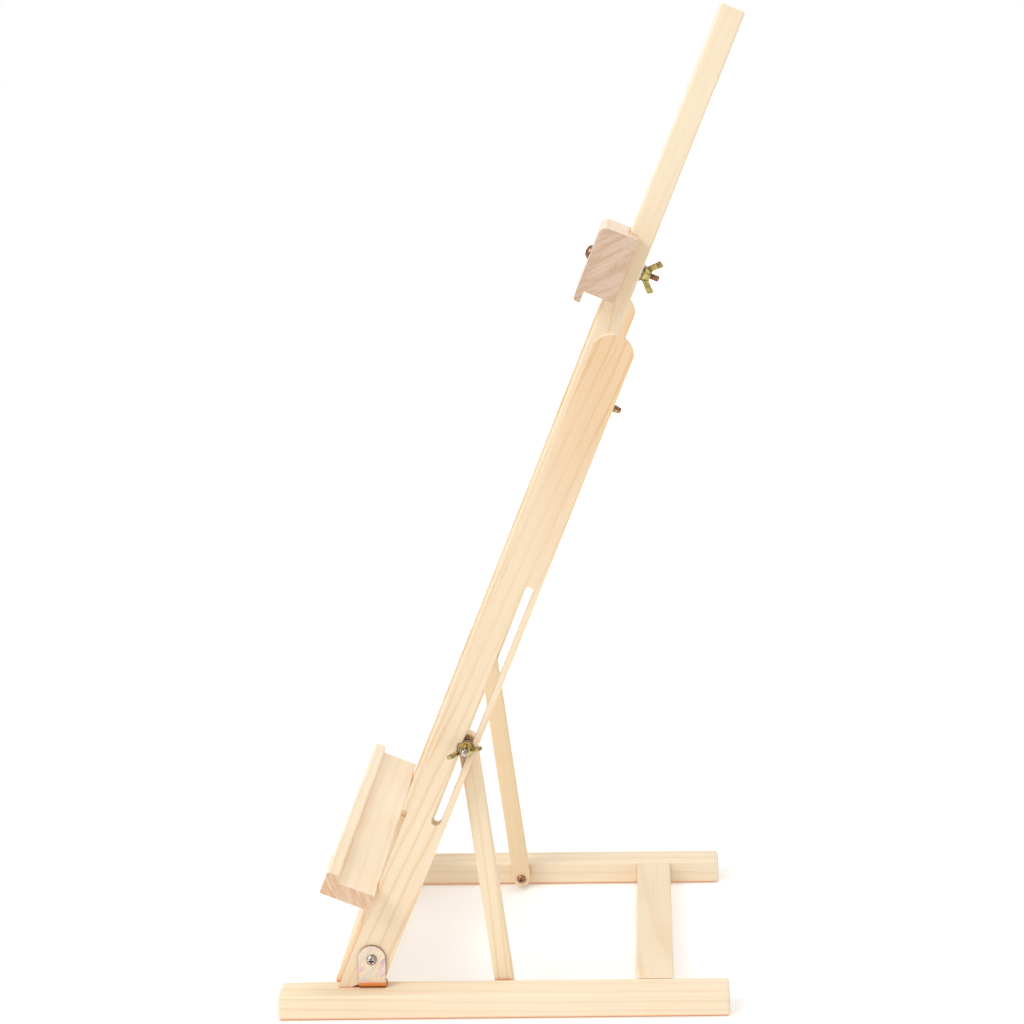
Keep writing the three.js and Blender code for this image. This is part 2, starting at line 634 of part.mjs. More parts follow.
function makeBoltTail() {
  const from = UPRIGHT_INNER_X + 0.2;
  const profile = [
    [0, from], [BOLT_RADIUS, from], [BOLT_RADIUS, SLOT_BOLT_END - 1.4],
    [BOLT_RADIUS - 1, SLOT_BOLT_END - 0.3], [0, SLOT_BOLT_END],
  ];
  return turned(profile, 'x', [0, BOLT_Y, BOLT_Z], 24);
}

// Carries a piece made along y at the origin to the slot bolt's line along x.
function toSlotBolt(solid) {
  return solid.rotate([0, 0, -90]).translate([0, BOLT_Y, BOLT_Z]);
}

// ---- assembly ------------------------------------------------------------------------------
const group = new THREE.Group();
group.name = 'easel';

function subgroup(name, parent = group) {
  const made = new THREE.Group();
  made.name = name;
  parent.add(made);
  return made;
}

const base = subgroup('base');
const frame = subgroup('frame');
frame.position.set(0, PIVOT_Y, PIVOT_Z);
frame.rotation.x = -LEAN;
const mast = subgroup('mast_slide', frame);
const clamp = subgroup('clamp_slide', mast);

place(base, 'base_crossbar', makeBaseBar(), PINE);
place(frame, 'foot_crossbar', makeFootBar(), PINE);
place(frame, 'head_crossbar', makeHeadBar(), PINE);
place(frame, 'tray', makeTray(), PINE_WARM);

for (const [word, side] of SIDES) {
  place(base, `rail_${word}`, onSide(makeRail(), side), PINE);
  place(base, `hinge_bracket_${word}`, onSide(makeBracket(), side), ZINC);
  place(base, `bracket_screw_${word}`, onSide(makeBracketScrew(), side), STEEL);
  place(base, `pivot_screw_${word}`, onSide(makePivotScrew(), side), STEEL);
  BASE_DOWEL_YS.forEach((y, i) => {
    const pin = onSide(dowel(DOWEL_LENGTH, [RAIL_INNER_X, y, BASE_DOWEL_Z]), side);
    place(base, `base_dowel_${word}_${i + 1}`, pin, BEECH);
  });
  place(frame, `upright_${word}`, onSide(makeUpright(), side), PINE);
  frameDowelSpots().forEach(([y, z], i) => {
    const pin = onSide(dowel(FRAME_DOWEL, [FRAME_DOWEL_X, y, z]), side);
    place(frame, `frame_dowel_${word}_${i + 1}`, pin, BEECH);
  });
  place(frame, `tray_screw_${word}`, onSide(makeTrayScrew(), side), STEEL);

  const strut = subgroup(`strut_group_${word}`);
  place(strut, `strut_${word}`, onSide(makeStrut(), side), PINE);
  place(strut, `slot_bolt_head_${word}`, onSide(makeBoltHead(), side), STEEL);
  place(base, `strut_screw_${word}`, onSide(makeStrutScrew(), side), STEEL);
  place(base, `strut_washer_${word}`, onSide(makeStrutWasher(), side), STEEL);
  const rider = subgroup(`slot_rider_${word}`);
  const disc = toSlotBolt(washer(UPRIGHT_OUTER_X + 0.2, 0));
  const nut = toSlotBolt(wingNut(UPRIGHT_OUTER_X + 0.4 + WASHER_THICK, 0, side > 0 ? 16 : 68));
  place(rider, `slot_bolt_${word}`, onSide(makeBoltTail(), side), STEEL);
  place(rider, `slot_washer_${word}`, onSide(disc, side), STEEL);
  place(rider, `slot_wing_nut_${word}`, onSide(nut, side), BRASS);
}

const LOCK_HEAD_SEAT = GROOVE_DEPTH - MAST_FRONT - 0.2;
const LOCK_END = LOCK_SEAT + 15;
place(mast, 'mast', makeMast(), PINE);
place(frame, 'mast_lock_bolt', domedBolt(LOCK_HEAD_SEAT, LOCK_END, HEAD_BAR_CENTRE), STEEL);
place(frame, 'mast_lock_washer', washer(LOCK_SEAT, HEAD_BAR_CENTRE), STEEL);
place(frame, 'mast_lock_wing_nut',
  wingNut(LOCK_SEAT + WASHER_THICK + 0.2, HEAD_BAR_CENTRE, 0), BRASS);

const CLAMP_END = 16;
place(clamp, 'clamp_block', makeClampBlock(), PINE_WARM);
place(clamp, 'clamp_bolt', domedBolt(-CLAMP_FRONT - 0.2, CLAMP_END, CLAMP_CENTRE), STEEL);
place(clamp, 'clamp_washer', washer(CLAMP_SEAT, CLAMP_CENTRE), STEEL);
place(clamp, 'clamp_wing_nut',
  wingNut(CLAMP_SEAT + WASHER_THICK + 0.2, CLAMP_CENTRE, 90), BRASS);

// Origin: under the middle of the easel's bounding box.
group.updateMatrixWorld(true);
const middle = new THREE.Box3().setFromObject(group, true).getCenter(new THREE.Vector3());
group.position.y = -middle.y;

export default group;
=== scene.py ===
import json
import math

import bmesh
import bpy
from mathutils import Matrix, Vector


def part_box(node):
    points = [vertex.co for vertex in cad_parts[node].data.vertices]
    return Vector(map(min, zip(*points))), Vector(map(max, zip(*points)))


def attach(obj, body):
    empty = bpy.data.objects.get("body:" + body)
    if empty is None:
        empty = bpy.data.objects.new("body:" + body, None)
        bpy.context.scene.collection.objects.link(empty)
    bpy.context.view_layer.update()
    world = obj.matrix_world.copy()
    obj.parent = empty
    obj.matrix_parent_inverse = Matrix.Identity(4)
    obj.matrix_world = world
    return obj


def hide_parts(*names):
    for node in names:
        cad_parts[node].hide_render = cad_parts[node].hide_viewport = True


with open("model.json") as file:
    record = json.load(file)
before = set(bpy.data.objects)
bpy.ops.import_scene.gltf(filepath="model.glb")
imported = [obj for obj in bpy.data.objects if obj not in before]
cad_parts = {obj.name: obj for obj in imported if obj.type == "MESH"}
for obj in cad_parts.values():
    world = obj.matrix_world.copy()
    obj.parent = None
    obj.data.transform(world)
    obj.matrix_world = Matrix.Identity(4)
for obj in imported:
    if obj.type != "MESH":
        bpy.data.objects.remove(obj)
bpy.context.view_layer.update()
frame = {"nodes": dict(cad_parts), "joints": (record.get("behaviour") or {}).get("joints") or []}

# Tabletop wooden easel. Lengths in this file are millimetres unless a name says otherwise.
MM = 0.001
SIDES = (("right", 1), ("left", -1))
JOINTS = {joint["name"]: joint for joint in frame["joints"]}

# ---- layout, the same numbers as the CAD part ------------------------------------------------
# The frame, mast and clamp are laid out in the leaning frame: heights run up it from the pivot
# (names in S among them), and FRONT and REAR are distances to either side of the pivot.
LEAN = math.radians(22)
PIVOT = Vector(JOINTS["frame_tilt"]["pos_m"]) / MM
STRUT_FOOT = Vector(JOINTS["strut_swing_right"]["pos_m"]) / MM
RAIL_TOP = 18
GAP = 0.3
UPRIGHT_IN, UPRIGHT_OUT = 117.3, 129.0
UPRIGHT_FRONT, UPRIGHT_REAR = 14.6, 14.1
UPRIGHT_TOP, TOP_RADIUS = 480, 15
FOOT_REACH = PIVOT.z - RAIL_TOP - 2 * GAP - 1.5
SLOT_OFFSET, SLOT_WIDTH, SLOT_LOW, SLOT_HIGH = 6.3, 6.8, 109.6, 295
TOE_FLAT, TOE_SLOPE = 15.4, 10.7
FOOT_BAR_LOW, FOOT_BAR_HIGH, FOOT_BAR_FRONT = -31, 18, 18
HEAD_BAR_S, HEAD_BAR_HEIGHT, HEAD_BAR_REAR = 413, 27, 10.8
BAR_THICK = 18
TRAY_LENGTH, TRAY_UNDER, TRAY_FLOOR, TRAY_LIP = 296, 41, 52.6, 57.8
TRAY_DEPTH, TRAY_LIP_THICK = 37.1, 8.8
MAST_WIDE, MAST_FRONT, MAST_REAR, MAST_LOW, MAST_HIGH = 27, 16, 2, 69.3, 712.5
MAST_SLOT = 6.8
MAST_SLOTS = ((96, 434), (450, 694))
GROOVE_WIDE, GROOVE_DEEP = 12.4, 4.2
CLAMP_S, CLAMP_LENGTH, CLAMP_BACK, CLAMP_FRONT = 513.3, 90, 9.7, 37.6
CLAMP_UP, CLAMP_DOWN, CLAMP_LIP_DROP, CLAMP_LIP_THICK = 24.3, 23.8, 8.4, 5.6
STRUT_WIDE, STRUT_THICK, STRUT_OUT = 13.6, 11.4, 116.2
STRUT_IN = STRUT_OUT - STRUT_THICK
BOLT_S = 170.8
BOLT_R = 2.4
WASHER_R, WASHER_THICK = 6.4, 1.1
PLATE = 1.5
BRACKET_X = UPRIGHT_OUT + GAP                    # the inner face of the bracket's standing leg
BRACKET_WIDE, BRACKET_RISE = 19.4, 31.7
BRACKET_INNER, BRACKET_BEND, BRACKET_SCREW_X = 118.1, 2.6, 123.4

# clearances and eased edges
SEAT_GAP, HAIR = 0.2, 0.02
PIVOT_HOLE_R, BRACKET_SCREW_HOLE_R, STRUT_FOOT_HOLE_R = 2.3, 2.9, 2.4
BOLT_HOLE_R = BOLT_R + 0.4
WASHER_HOLE_R = BOLT_R + 0.3
MAST_CLEAR = 0.5
PAST = 60                                        # how far a cutting tool runs beyond the wood
RAIL_EASE, BAR_EASE, UPRIGHT_EASE, TRAY_EASE, MAST_EASE, STRUT_EASE = 2.2, 1.8, 2.4, 0.8, 1.6, 1.3

FRAME_AT = Matrix.Translation(PIVOT * MM) @ Matrix.Rotation(-LEAN, 4, "X")
BOLT_AT = FRAME_AT @ Vector((0, SLOT_OFFSET * MM, BOLT_S * MM)) / MM
STRUT_RUN = Vector((BOLT_AT.y - STRUT_FOOT.y, BOLT_AT.z - STRUT_FOOT.z))
STRUT_REACH = STRUT_RUN.length
STRUT_TILT = math.atan2(STRUT_RUN.y, STRUT_RUN.x) - math.pi / 2
STRUT_AT = (Matrix.Translation((0, STRUT_FOOT.y * MM, STRUT_FOOT.z * MM))
            @ Matrix.Rotation(STRUT_TILT, 4, "X"))


# ---- shader graphs ---------------------------------------------------------------------------
class Graph:
    """Builds one node material in short lines."""

    def __init__(self, name):
        self.material = bpy.data.materials.new(name)
        self.material.use_nodes = True
        self.tree = self.material.node_tree
        self.shader = self.tree.nodes["Principled BSDF"]

    def node(self, kind, **settings):
        made = self.tree.nodes.new("ShaderNode" + kind)
        for key, value in settings.items():
            setattr(made, key, value)
        return made

    def put(self, socket, value):
        """Links an output to the socket, or writes a constant on it."""
        if hasattr(value, "links"):
            self.tree.links.new(value, socket)
        else:
            socket.default_value = value

    def math(self, operation, a, b=0.0, c=0.0, clamp=False):
        made = self.node("Math", operation=operation, use_clamp=clamp)
        for socket, value in zip(made.inputs, (a, b, c)):
            self.put(socket, value)
        return made.outputs[0]

    def vector(self, operation, a, b=(0, 0, 0)):
        made = self.node("VectorMath", operation=operation)
        self.put(made.inputs[0], a)
        self.put(made.inputs[1], b)
        one_number = operation in ("LENGTH", "DOT_PRODUCT")
        return made.outputs["Value" if one_number else "Vector"]

    def parts(self, vector):
        made = self.node("SeparateXYZ")
        self.put(made.inputs[0], vector)
        return list(made.outputs)

    def join(self, x, y, z):
        made = self.node("CombineXYZ")
        for socket, value in zip(made.inputs, (x, y, z)):
            self.put(socket, value)
        return made.outputs[0]

    def noise(self, place, cells, detail=2.0, rough=0.5, output="Fac"):
        """Noise over place; cells is how many cells a metre it has along each axis."""
        made = self.node("TexNoise")
        self.put(made.inputs["Vector"], self.vector("MULTIPLY", place, cells))
        made.inputs["Scale"].default_value = 1.0
        made.inputs["Detail"].default_value = detail
        made.inputs["Roughness"].default_value = rough
        return made.outputs[output]

    def smooth(self, value, low, high, to_low=0.0, to_high=1.0):
        made = self.node("MapRange", interpolation_type="SMOOTHSTEP")
        for socket, number in zip(made.inputs, (value, low, high, to_low, to_high)):
            self.put(socket, number)
        return made.outputs[0]

    def mix(self, share, a, b, blend="MIX"):
        made = self.node("Mix", data_type="RGBA", blend_type=blend)
        self.put(made.inputs[0], share)
        for socket, value in ((made.inputs[6], a), (made.inputs[7], b)):
            self.put(socket, value if hasattr(value, "links") else (*value, 1.0))
        return made.outputs[2]

    def ramp(self, value, stops):
        made = self.node("ValToRGB")
        self.put(made.inputs[0], value)
        made.color_ramp.interpolation = "EASE"
        points = made.color_ramp.elements
        while len(points) < len(stops):
            points.new(0.5)
        for point, (place, colour) in zip(points, stops):
            point.position = place
            point.color = (*colour, 1.0)
        return made.outputs[0]

    def crevice(self, reach, low, high):
        """How far a spot lies in a joint or hollow, one where surfaces nearly meet: the mask that
        the painted shade in joints and hollows uses.
        """
        around = self.node("AmbientOcclusion", samples=8)
        around.inputs["Distance"].default_value = reach
        return self.smooth(around.outputs["AO"], low, high, 1.0, 0.0)

    def bump(self, height, strength, distance):
        made = self.node("Bump")
        made.inputs["Strength"].default_value = strength
        made.inputs["Distance"].default_value = distance
        self.put(made.inputs["Height"], height)
        self.put(self.shader.inputs["Normal"], made.outputs[0])


# ---- wood ------------------------------------------------------------------------------------
PINE_LIGHT, PINE_DARK, PINE_END = (0.915, 0.785, 0.60), (0.83, 0.60, 0.365), (0.74, 0.52, 0.34)
GRAIN_ORDER = {"x": (1, 2, 0), "y": (2, 0, 1), "z": (0, 1, 2)}
SEED_STEP = (1.7, 2.3, 3.1)                      # metres between one board's noise and the next's

# cells a metre, twice across the board and then along it
WARP_CELLS, WANDER_CELLS, PATCH_CELLS = (16, 16, 2.6), (6, 6, 1.2), (14, 14, 3.0)
FIBRE_CELLS, FINE_CELLS, TONE_CELLS = (700, 700, 16), (2600, 2600, 70), (26, 26, 4.4)
FLECK_CELLS, PORE_CELLS = (1500, 1500, 95), (1500, 1500, 300)

WARP_REACH, RINGS_WANDER = 0.012, 2.4            # how far the rings stray: metres, and rings
DARKENS, DARKEST = 0.56, 0.88                    # where, in each ring, the late wood lies
FIBRE_SHARE, TONE_SHARE, WARM_SHARE, FLECK_SHARE = 0.16, 0.26, 0.5, 0.14
ARRIS_HIGHLIGHT = 1.05
JOINT_REACH, JOINT_SHADE_TINT = 0.004, (0.96, 0.50, 0.20)


def along_grain(graph, vector, axis):
    """The vector's parts reordered, so that the third runs along the board."""
    parts = graph.parts(vector)
    return graph.join(*(parts[index] for index in GRAIN_ORDER[axis]))


def growth_rings(graph, bent, place, spacing, pith, tilt):
    """The late wood of each ring, all of it, and as unevenly as it shows."""
    from_pith = graph.vector("SUBTRACT", bent, (*pith, 0))
    radius = graph.vector("LENGTH", graph.vector("MULTIPLY", from_pith, (1, 1, 0)))
    radius = graph.math("MULTIPLY_ADD", graph.parts(bent)[2], tilt, radius)
    wander = graph.noise(place, WANDER_CELLS, 1)
    count = graph.math("MULTIPLY_ADD", wander, RINGS_WANDER,
                       graph.math("DIVIDE", radius, spacing))
    phase = graph.math("FRACT", count)
    late = graph.math("MULTIPLY", graph.smooth(phase, DARKENS, DARKEST),
                      graph.smooth(phase, DARKEST, 1.0, 1.0, 0.0))
    patchy = graph.smooth(graph.noise(place, PATCH_CELLS), 0.30, 0.72, 0.25, 1.0)
    return late, graph.math("MULTIPLY", late, patchy)


def streaked(graph, colour, bent, fibre, start, stop, width, streak_colour):
    """The colour with one short soft line of another colour on it; it paints the resin stains and
    the painted shade alike.
    """
    run = Vector(stop) - Vector(start)
    offset = graph.vector("SUBTRACT", bent, start)
    part = graph.vector("DOT_PRODUCT", offset, run / run.length_squared)
    part = graph.math("MAXIMUM", graph.math("MINIMUM", part, 1.0), 0.0)
    nearest = graph.vector("MULTIPLY", graph.join(part, part, part), tuple(run))
    away = graph.vector("LENGTH", graph.vector("SUBTRACT", offset, nearest))
    ragged = graph.math("MULTIPLY_ADD", fibre, width * 1.2, away)
    near = graph.smooth(ragged, width * 0.5, width * 1.7, 0.8, 0.0)
    return graph.mix(near, colour, streak_colour)


def end_face(graph, length, facing_end, ends):
    """One on the sawn ends of the board, and none elsewhere."""
    to_end = graph.math("MINIMUM", graph.math("SUBTRACT", length, ends[0]),
                        graph.math("SUBTRACT", ends[1], length))
    return graph.math("MULTIPLY", graph.smooth(facing_end, 0.55, 0.90),
                      graph.smooth(to_end, 0.0015, 0.0035, 1.0, 0.0))


def end_grain(graph, local, pores, light, end, slope, cells):
    """The sawn ends' colour: browner, in slanting broken bands, speckled with pores."""
    u, v, length = graph.parts(local)
    slant = graph.math("MULTIPLY_ADD", v, slope, u)
    bands = graph.noise(graph.join(slant, u, length), (cells, cells / 4, 60), 4, 0.6)
    sawn = graph.math("MULTIPLY_ADD", graph.smooth(bands, 0.38, 0.62), 0.60,
                      graph.math("MULTIPLY", pores, 0.34), clamp=True)
    pale = tuple((e + c) / 2 for e, c in zip(end, light))
    return graph.mix(sawn, pale, end)


def wood(name, axis, seed, ends, light=PINE_LIGHT, dark=PINE_DARK, end=PINE_END,
         spacing=0.0060, pith=(0.045, 0.06), tilt=0.0, figure=0.62, warm=None,
         end_slope=1, end_cells=330, streaks=()):
    """Sanded softwood cut from a log: growth rings about a pith, fibres, end grain, rounded edges
    with a painted highlight, painted shade where boards meet.

    ends are where the board starts and stops along its grain, and pith is where the log's
    centre lies across it, in metres. tilt is how fast the rings run out of the board, and
    figure how strongly they show. warm is (from, to) along the board, over which it turns
    oranger; end_slope slants the end grain and end_cells is how fine its bands are; streaks
    are resin stains and painted shade, each (from, to, width, colour)."""
    graph = Graph(name)
    coords = graph.node("TexCoord")
    local = along_grain(graph, coords.outputs["Object"], axis)
    length = graph.parts(local)[2]
    normal = along_grain(graph, coords.outputs["Normal"], axis)
    facing = graph.parts(graph.vector("ABSOLUTE", normal))
    place = graph.vector("ADD", local, tuple(seed * step for step in SEED_STEP))
    warp = graph.noise(place, WARP_CELLS, 3, output="Color")
    warp = graph.vector("SUBTRACT", warp, (0.5, 0.5, 0.5))
    warp = graph.vector("MULTIPLY", warp, (WARP_REACH, WARP_REACH, 0))
    bent = graph.vector("ADD", local, warp)

    # rings, fibres and slow changes of tone
    late, rings = growth_rings(graph, bent, place, spacing, pith, tilt)
    fibre = graph.noise(place, FIBRE_CELLS, 4, 0.62)
    fine = graph.noise(place, FINE_CELLS, 2, 0.6)
    tone = graph.noise(place, TONE_CELLS, 3)
    flecks = graph.smooth(graph.noise(place, FLECK_CELLS), 0.63, 0.74)
    share = graph.math("MULTIPLY", rings, figure)
    share = graph.math("MULTIPLY_ADD", graph.smooth(fibre, 0.42, 0.74), FIBRE_SHARE, share)
    share = graph.math("MULTIPLY_ADD", graph.smooth(tone, 0.36, 0.70), TONE_SHARE, share)
    if warm:
        share = graph.math("MULTIPLY_ADD", graph.smooth(length, *warm), WARM_SHARE, share)
    colour = graph.mix(graph.math("MINIMUM", share, 1.0), light, dark)
    colour = graph.mix(graph.math("MULTIPLY", flecks, FLECK_SHARE), colour, dark)
    for streak in streaks:
        colour = streaked(graph, colour, bent, fibre, *streak)

    cut = end_face(graph, length, facing[2], ends)
    pores = graph.smooth(graph.noise(place, PORE_CELLS, 3, 0.6), 0.42, 0.66)
    sawn = end_grain(graph, local, pores, light, end, end_slope, end_cells)
    colour = graph.mix(cut, colour, sawn)

    # arrises: the sandpaper has rounded them and left them smoother; their paler colour is a painted
    # highlight, as on a lit round-over
    widest = graph.math("MAXIMUM", facing[0], graph.math("MAXIMUM", facing[1], facing[2]))
    arris = graph.smooth(widest, 0.995, 0.90)
    rubbed = graph.math("MULTIPLY", arris, graph.smooth(fine, 0.30, 0.70, 0.22, 0.50))
    colour = graph.mix(rubbed, colour, tuple(min(1.0, c * ARRIS_HIGHLIGHT) for c in light))

    # painted shade: a warm darkening where boards meet, from ambient occlusion
    joint = graph.math("MULTIPLY", graph.crevice(JOINT_REACH, 0.30, 0.74), 0.9)
    colour = graph.mix(joint, colour, JOINT_SHADE_TINT, "MULTIPLY")
    graph.put(graph.shader.inputs["Base Color"], colour)

    rough = graph.math("MULTIPLY_ADD", fibre, 0.22, 0.52)
    rough = graph.math("MULTIPLY_ADD", cut, 0.16, rough)
    rough = graph.math("MULTIPLY_ADD", arris, -0.07, rough, clamp=True)
    graph.put(graph.shader.inputs["Roughness"], rough)
    graph.shader.inputs["Specular IOR Level"].default_value = 0.32
    height = graph.math("MULTIPLY_ADD", fibre, 0.7, graph.math("MULTIPLY", late, 0.35))
    height = graph.math("MULTIPLY_ADD", fine, 0.35, height)
    height = graph.math("MULTIPLY_ADD", graph.math("MULTIPLY", pores, cut), -0.8, height)
    graph.bump(height, 0.34, 0.00022)
    return graph.material


# ---- metal -----------------------------------------------------------------------------------
MOTTLE_CELLS, SCRATCH_CELLS = (260, 260, 260), (5200, 700, 1500)
CLOUD_CELLS, PLATE_SCRATCH_CELLS = (120, 55, 240), (900, 4200, 1100)
SCRATCH_SHARE = 0.3
FILM = ((0.00, (0.56, 0.46, 0.56)), (0.22, (0.80, 0.54, 0.48)), (0.42, (0.86, 0.70, 0.46)),
        (0.60, (0.66, 0.68, 0.52)), (0.80, (0.80, 0.55, 0.53)), (1.00, (0.74, 0.68, 0.64)))
RUSTY, PLATE_WORN, PLATE_SHADE = (0.80, 0.27, 0.05), (0.93, 0.86, 0.80), (0.11, 0.06, 0.05)


def rubbed_metal(graph, colour, worn, scratch, low, high):
    """The colour with bright rubbed marks along the scratches."""
    marks = graph.smooth(scratch, low, high)
    return graph.mix(graph.math("MULTIPLY", marks, SCRATCH_SHARE), colour, worn)


def metal(name, base, tint, roughness, worn=(0.90, 0.90, 0.90), hollow_shade=(0.10, 0.055, 0.035)):
    """Plated steel: a mottled tint, fine scratches, bright rubbed marks, painted shade in the
    hollows.
    """
    graph = Graph(name)
    place = graph.node("TexCoord").outputs["Object"]
    mottle = graph.smooth(graph.noise(place, MOTTLE_CELLS, 3, 0.6), 0.35, 0.68)
    colour = graph.mix(mottle, base, tint)
    scratch = graph.noise(place, SCRATCH_CELLS, 2, 0.7)
    colour = rubbed_metal(graph, colour, worn, scratch, 0.58, 0.78)
    # painted shade: the hollows and cross recesses darkened by ambient occlusion
    colour = graph.mix(graph.crevice(0.0035, 0.25, 0.72), colour, hollow_shade)
    graph.put(graph.shader.inputs["Base Color"], colour)
    graph.shader.inputs["Metallic"].default_value = 1.0
    graph.put(graph.shader.inputs["Roughness"],
              graph.math("MULTIPLY_ADD", scratch, 0.2, roughness, clamp=True))
    graph.bump(scratch, 0.25, 0.00006)
    return graph.material


def rainbow_zinc(name):
    """Passivated zinc plate: faint pink, straw, green and violet streaks, a rusty bend."""
    graph = Graph(name)
    coords = graph.node("TexCoord")
    place = coords.outputs["Object"]
    x, y, z = graph.parts(place)
    slanted = graph.join(x, graph.math("ADD", y, z), graph.math("SUBTRACT", y, z))
    cloud = graph.smooth(graph.noise(slanted, CLOUD_CELLS, 3, 0.6), 0.28, 0.72)
    colour = graph.ramp(cloud, FILM)
    foot = (RAIL_TOP + GAP) * MM
    bend = graph.smooth(z, foot + 0.0046, foot + 0.0035)
    colour = graph.mix(graph.math("MULTIPLY", bend, 0.92), colour, RUSTY)
    scratch = graph.noise(place, PLATE_SCRATCH_CELLS, 2, 0.7)
    colour = rubbed_metal(graph, colour, PLATE_WORN, scratch, 0.60, 0.80)

    # painted shade: the sheared rim of the standing leg is darkened, as its edge lies in shade, and
    # so are the lowest line of the bend, where it meets the rail, and the hollows
    outward = graph.parts(graph.vector("ABSOLUTE", coords.outputs["Normal"]))[0]
    rim = graph.math("MULTIPLY", graph.smooth(outward, 0.80, 0.45),
                     graph.smooth(z, foot + 0.0030, foot + 0.0042))
    under = graph.smooth(z, foot + 0.0010, foot + 0.0004)
    plate_shade = graph.math("MAXIMUM", graph.math("MAXIMUM", rim, under),
                       graph.crevice(0.003, 0.25, 0.60))
    colour = graph.mix(graph.math("MULTIPLY", plate_shade, 0.85), colour, PLATE_SHADE)
    graph.put(graph.shader.inputs["Base Color"], colour)
    graph.shader.inputs["Metallic"].default_value = 0.7
    graph.put(graph.shader.inputs["Roughness"], graph.math("MULTIPLY_ADD", scratch, 0.2, 0.30))
    graph.bump(scratch, 0.3, 0.00005)
    return graph.material


# ---- mesh helpers ----------------------------------------------------------------------------
SPREAD = {
    "x": lambda u, v, w: Vector((w, u, v)),
    "y": lambda u, v, w: Vector((u, w, v)),
    "z": lambda u, v, w: Vector((u, v, w)),
}


def prism(outline, low, high, axis, holes=()):
    """A flat outline with holes, pushed from low to high along the axis."""
    made = bmesh.new()
    tag = made.verts.layers.int.new("hole")
    for index, loop in enumerate([outline, *holes]):
        ring = [made.verts.new(SPREAD[axis](u, v, low)) for u, v in loop]
        for vert in ring:
            vert[tag] = index
        for a, b in zip(ring, ring[1:] + ring[:1]):
            made.edges.new((a, b))
    bmesh.ops.triangle_fill(made, use_beauty=True, use_dissolve=False, edges=made.edges[:])
    grown = bmesh.ops.extrude_face_region(made, geom=made.faces[:])
    tops = [item for item in grown["geom"] if isinstance(item, bmesh.types.BMVert)]
    bmesh.ops.translate(made, verts=tops, vec=SPREAD[axis](0, 0, high - low))
    bmesh.ops.recalc_face_normals(made, faces=made.faces[:])
    return made


def bevel(made, edges, radius, segments):
    bmesh.ops.bevel(made, geom=edges, offset=radius, offset_type="OFFSET", segments=segments,
                    profile=0.5, affect="EDGES", clamp_overlap=True)
    return made


def ease(made, radius, segments=3, holes=False, least=0.5):
    """Rounds the edges that turn by more than least radians: the outline's, or the holes'."""
    tag = made.verts.layers.int.get("hole")
    edges = [edge for edge in made.edges
             if edge.is_manifold and edge.calc_face_angle() > least
             and (tag is None or (edge.verts[0][tag] > 0) == holes)]
    return bevel(made, edges, radius, segments)


def ease_along_x(made, radius):
    """Rounds the edges that run along x, and leaves the sawn ends square."""
    edges = [edge for edge in made.edges if abs(edge.verts[0].co.x - edge.verts[1].co.x) > 1]
    return bevel(made, edges, radius, 4)


def revolve(profile, steps=40, thread=None):
    """A turned solid about z. thread is (from, to, pitch, depth) of a helical groove."""
    made = bmesh.new()
    rows = []
    for radius, height in profile:
        if radius == 0:
            rows.append([made.verts.new((0, 0, height))])
            continue
        ring = []
        for step in range(steps):
            angle = 2 * math.pi * step / steps
            r = radius
            if thread and thread[0] < height < thread[1]:
                turn = (height / thread[2] - step / steps) % 1.0
                fade = min(1.0, (height - thread[0]) / thread[2], (thread[1] - height) / thread[2])
                r -= thread[3] * fade * abs(2 * turn - 1)
            ring.append(made.verts.new((r * math.cos(angle), r * math.sin(angle), height)))
        rows.append(ring)
    for below, above in zip(rows, rows[1:]):
        for step in range(steps):
            nxt = (step + 1) % steps
            if len(below) == 1:
                made.faces.new((below[0], above[nxt], above[step]))
            elif len(above) == 1:
                made.faces.new((below[step], below[nxt], above[0]))
            else:
                made.faces.new((below[step], below[nxt], above[nxt], above[step]))
    if len(rows[0]) > 1 and len(rows[-1]) > 1:
        for step in range(steps):
            nxt = (step + 1) % steps
            made.faces.new((rows[-1][step], rows[-1][nxt], rows[0][nxt], rows[0][step]))
    bmesh.ops.recalc_face_normals(made, faces=made.faces[:])
    return made


def as_object(made, name="scratch"):
    mesh = bpy.data.meshes.new(name)
    made.to_mesh(mesh)
    made.free()
    thing = bpy.data.objects.new(name, mesh)
    bpy.context.scene.collection.objects.link(thing)
    return thing


def combine(first, operation, *others):
    """Exact boolean of bmeshes; returns a new bmesh."""
    target = as_object(first)
    tools = [as_object(other) for other in others]
    for tool in tools:
        modifier = target.modifiers.new("cut", "BOOLEAN")
        modifier.operation = operation
        modifier.solver = "EXACT"
        modifier.object = tool
    bpy.context.view_layer.update()
    mesh = bpy.data.meshes.new_from_object(
        target.evaluated_get(bpy.context.evaluated_depsgraph_get()))
    made = bmesh.new()
    made.from_mesh(mesh)
    bpy.data.meshes.remove(mesh)
    for thing in [target, *tools]:
        old = thing.data
        bpy.data.objects.remove(thing)
        bpy.data.meshes.remove(old)
    bmesh.ops.remove_doubles(made, verts=made.verts[:], dist=1e-4)
    return made


def flip_side(made, side):
    """Turns a mesh made for the easel's right side into the left side's."""
    if side < 0:
        bmesh.ops.scale(made, vec=(-1, 1, 1), verts=made.verts[:])
        bmesh.ops.reverse_faces(made, faces=made.faces[:])
    return made


SHARP = math.radians(40)


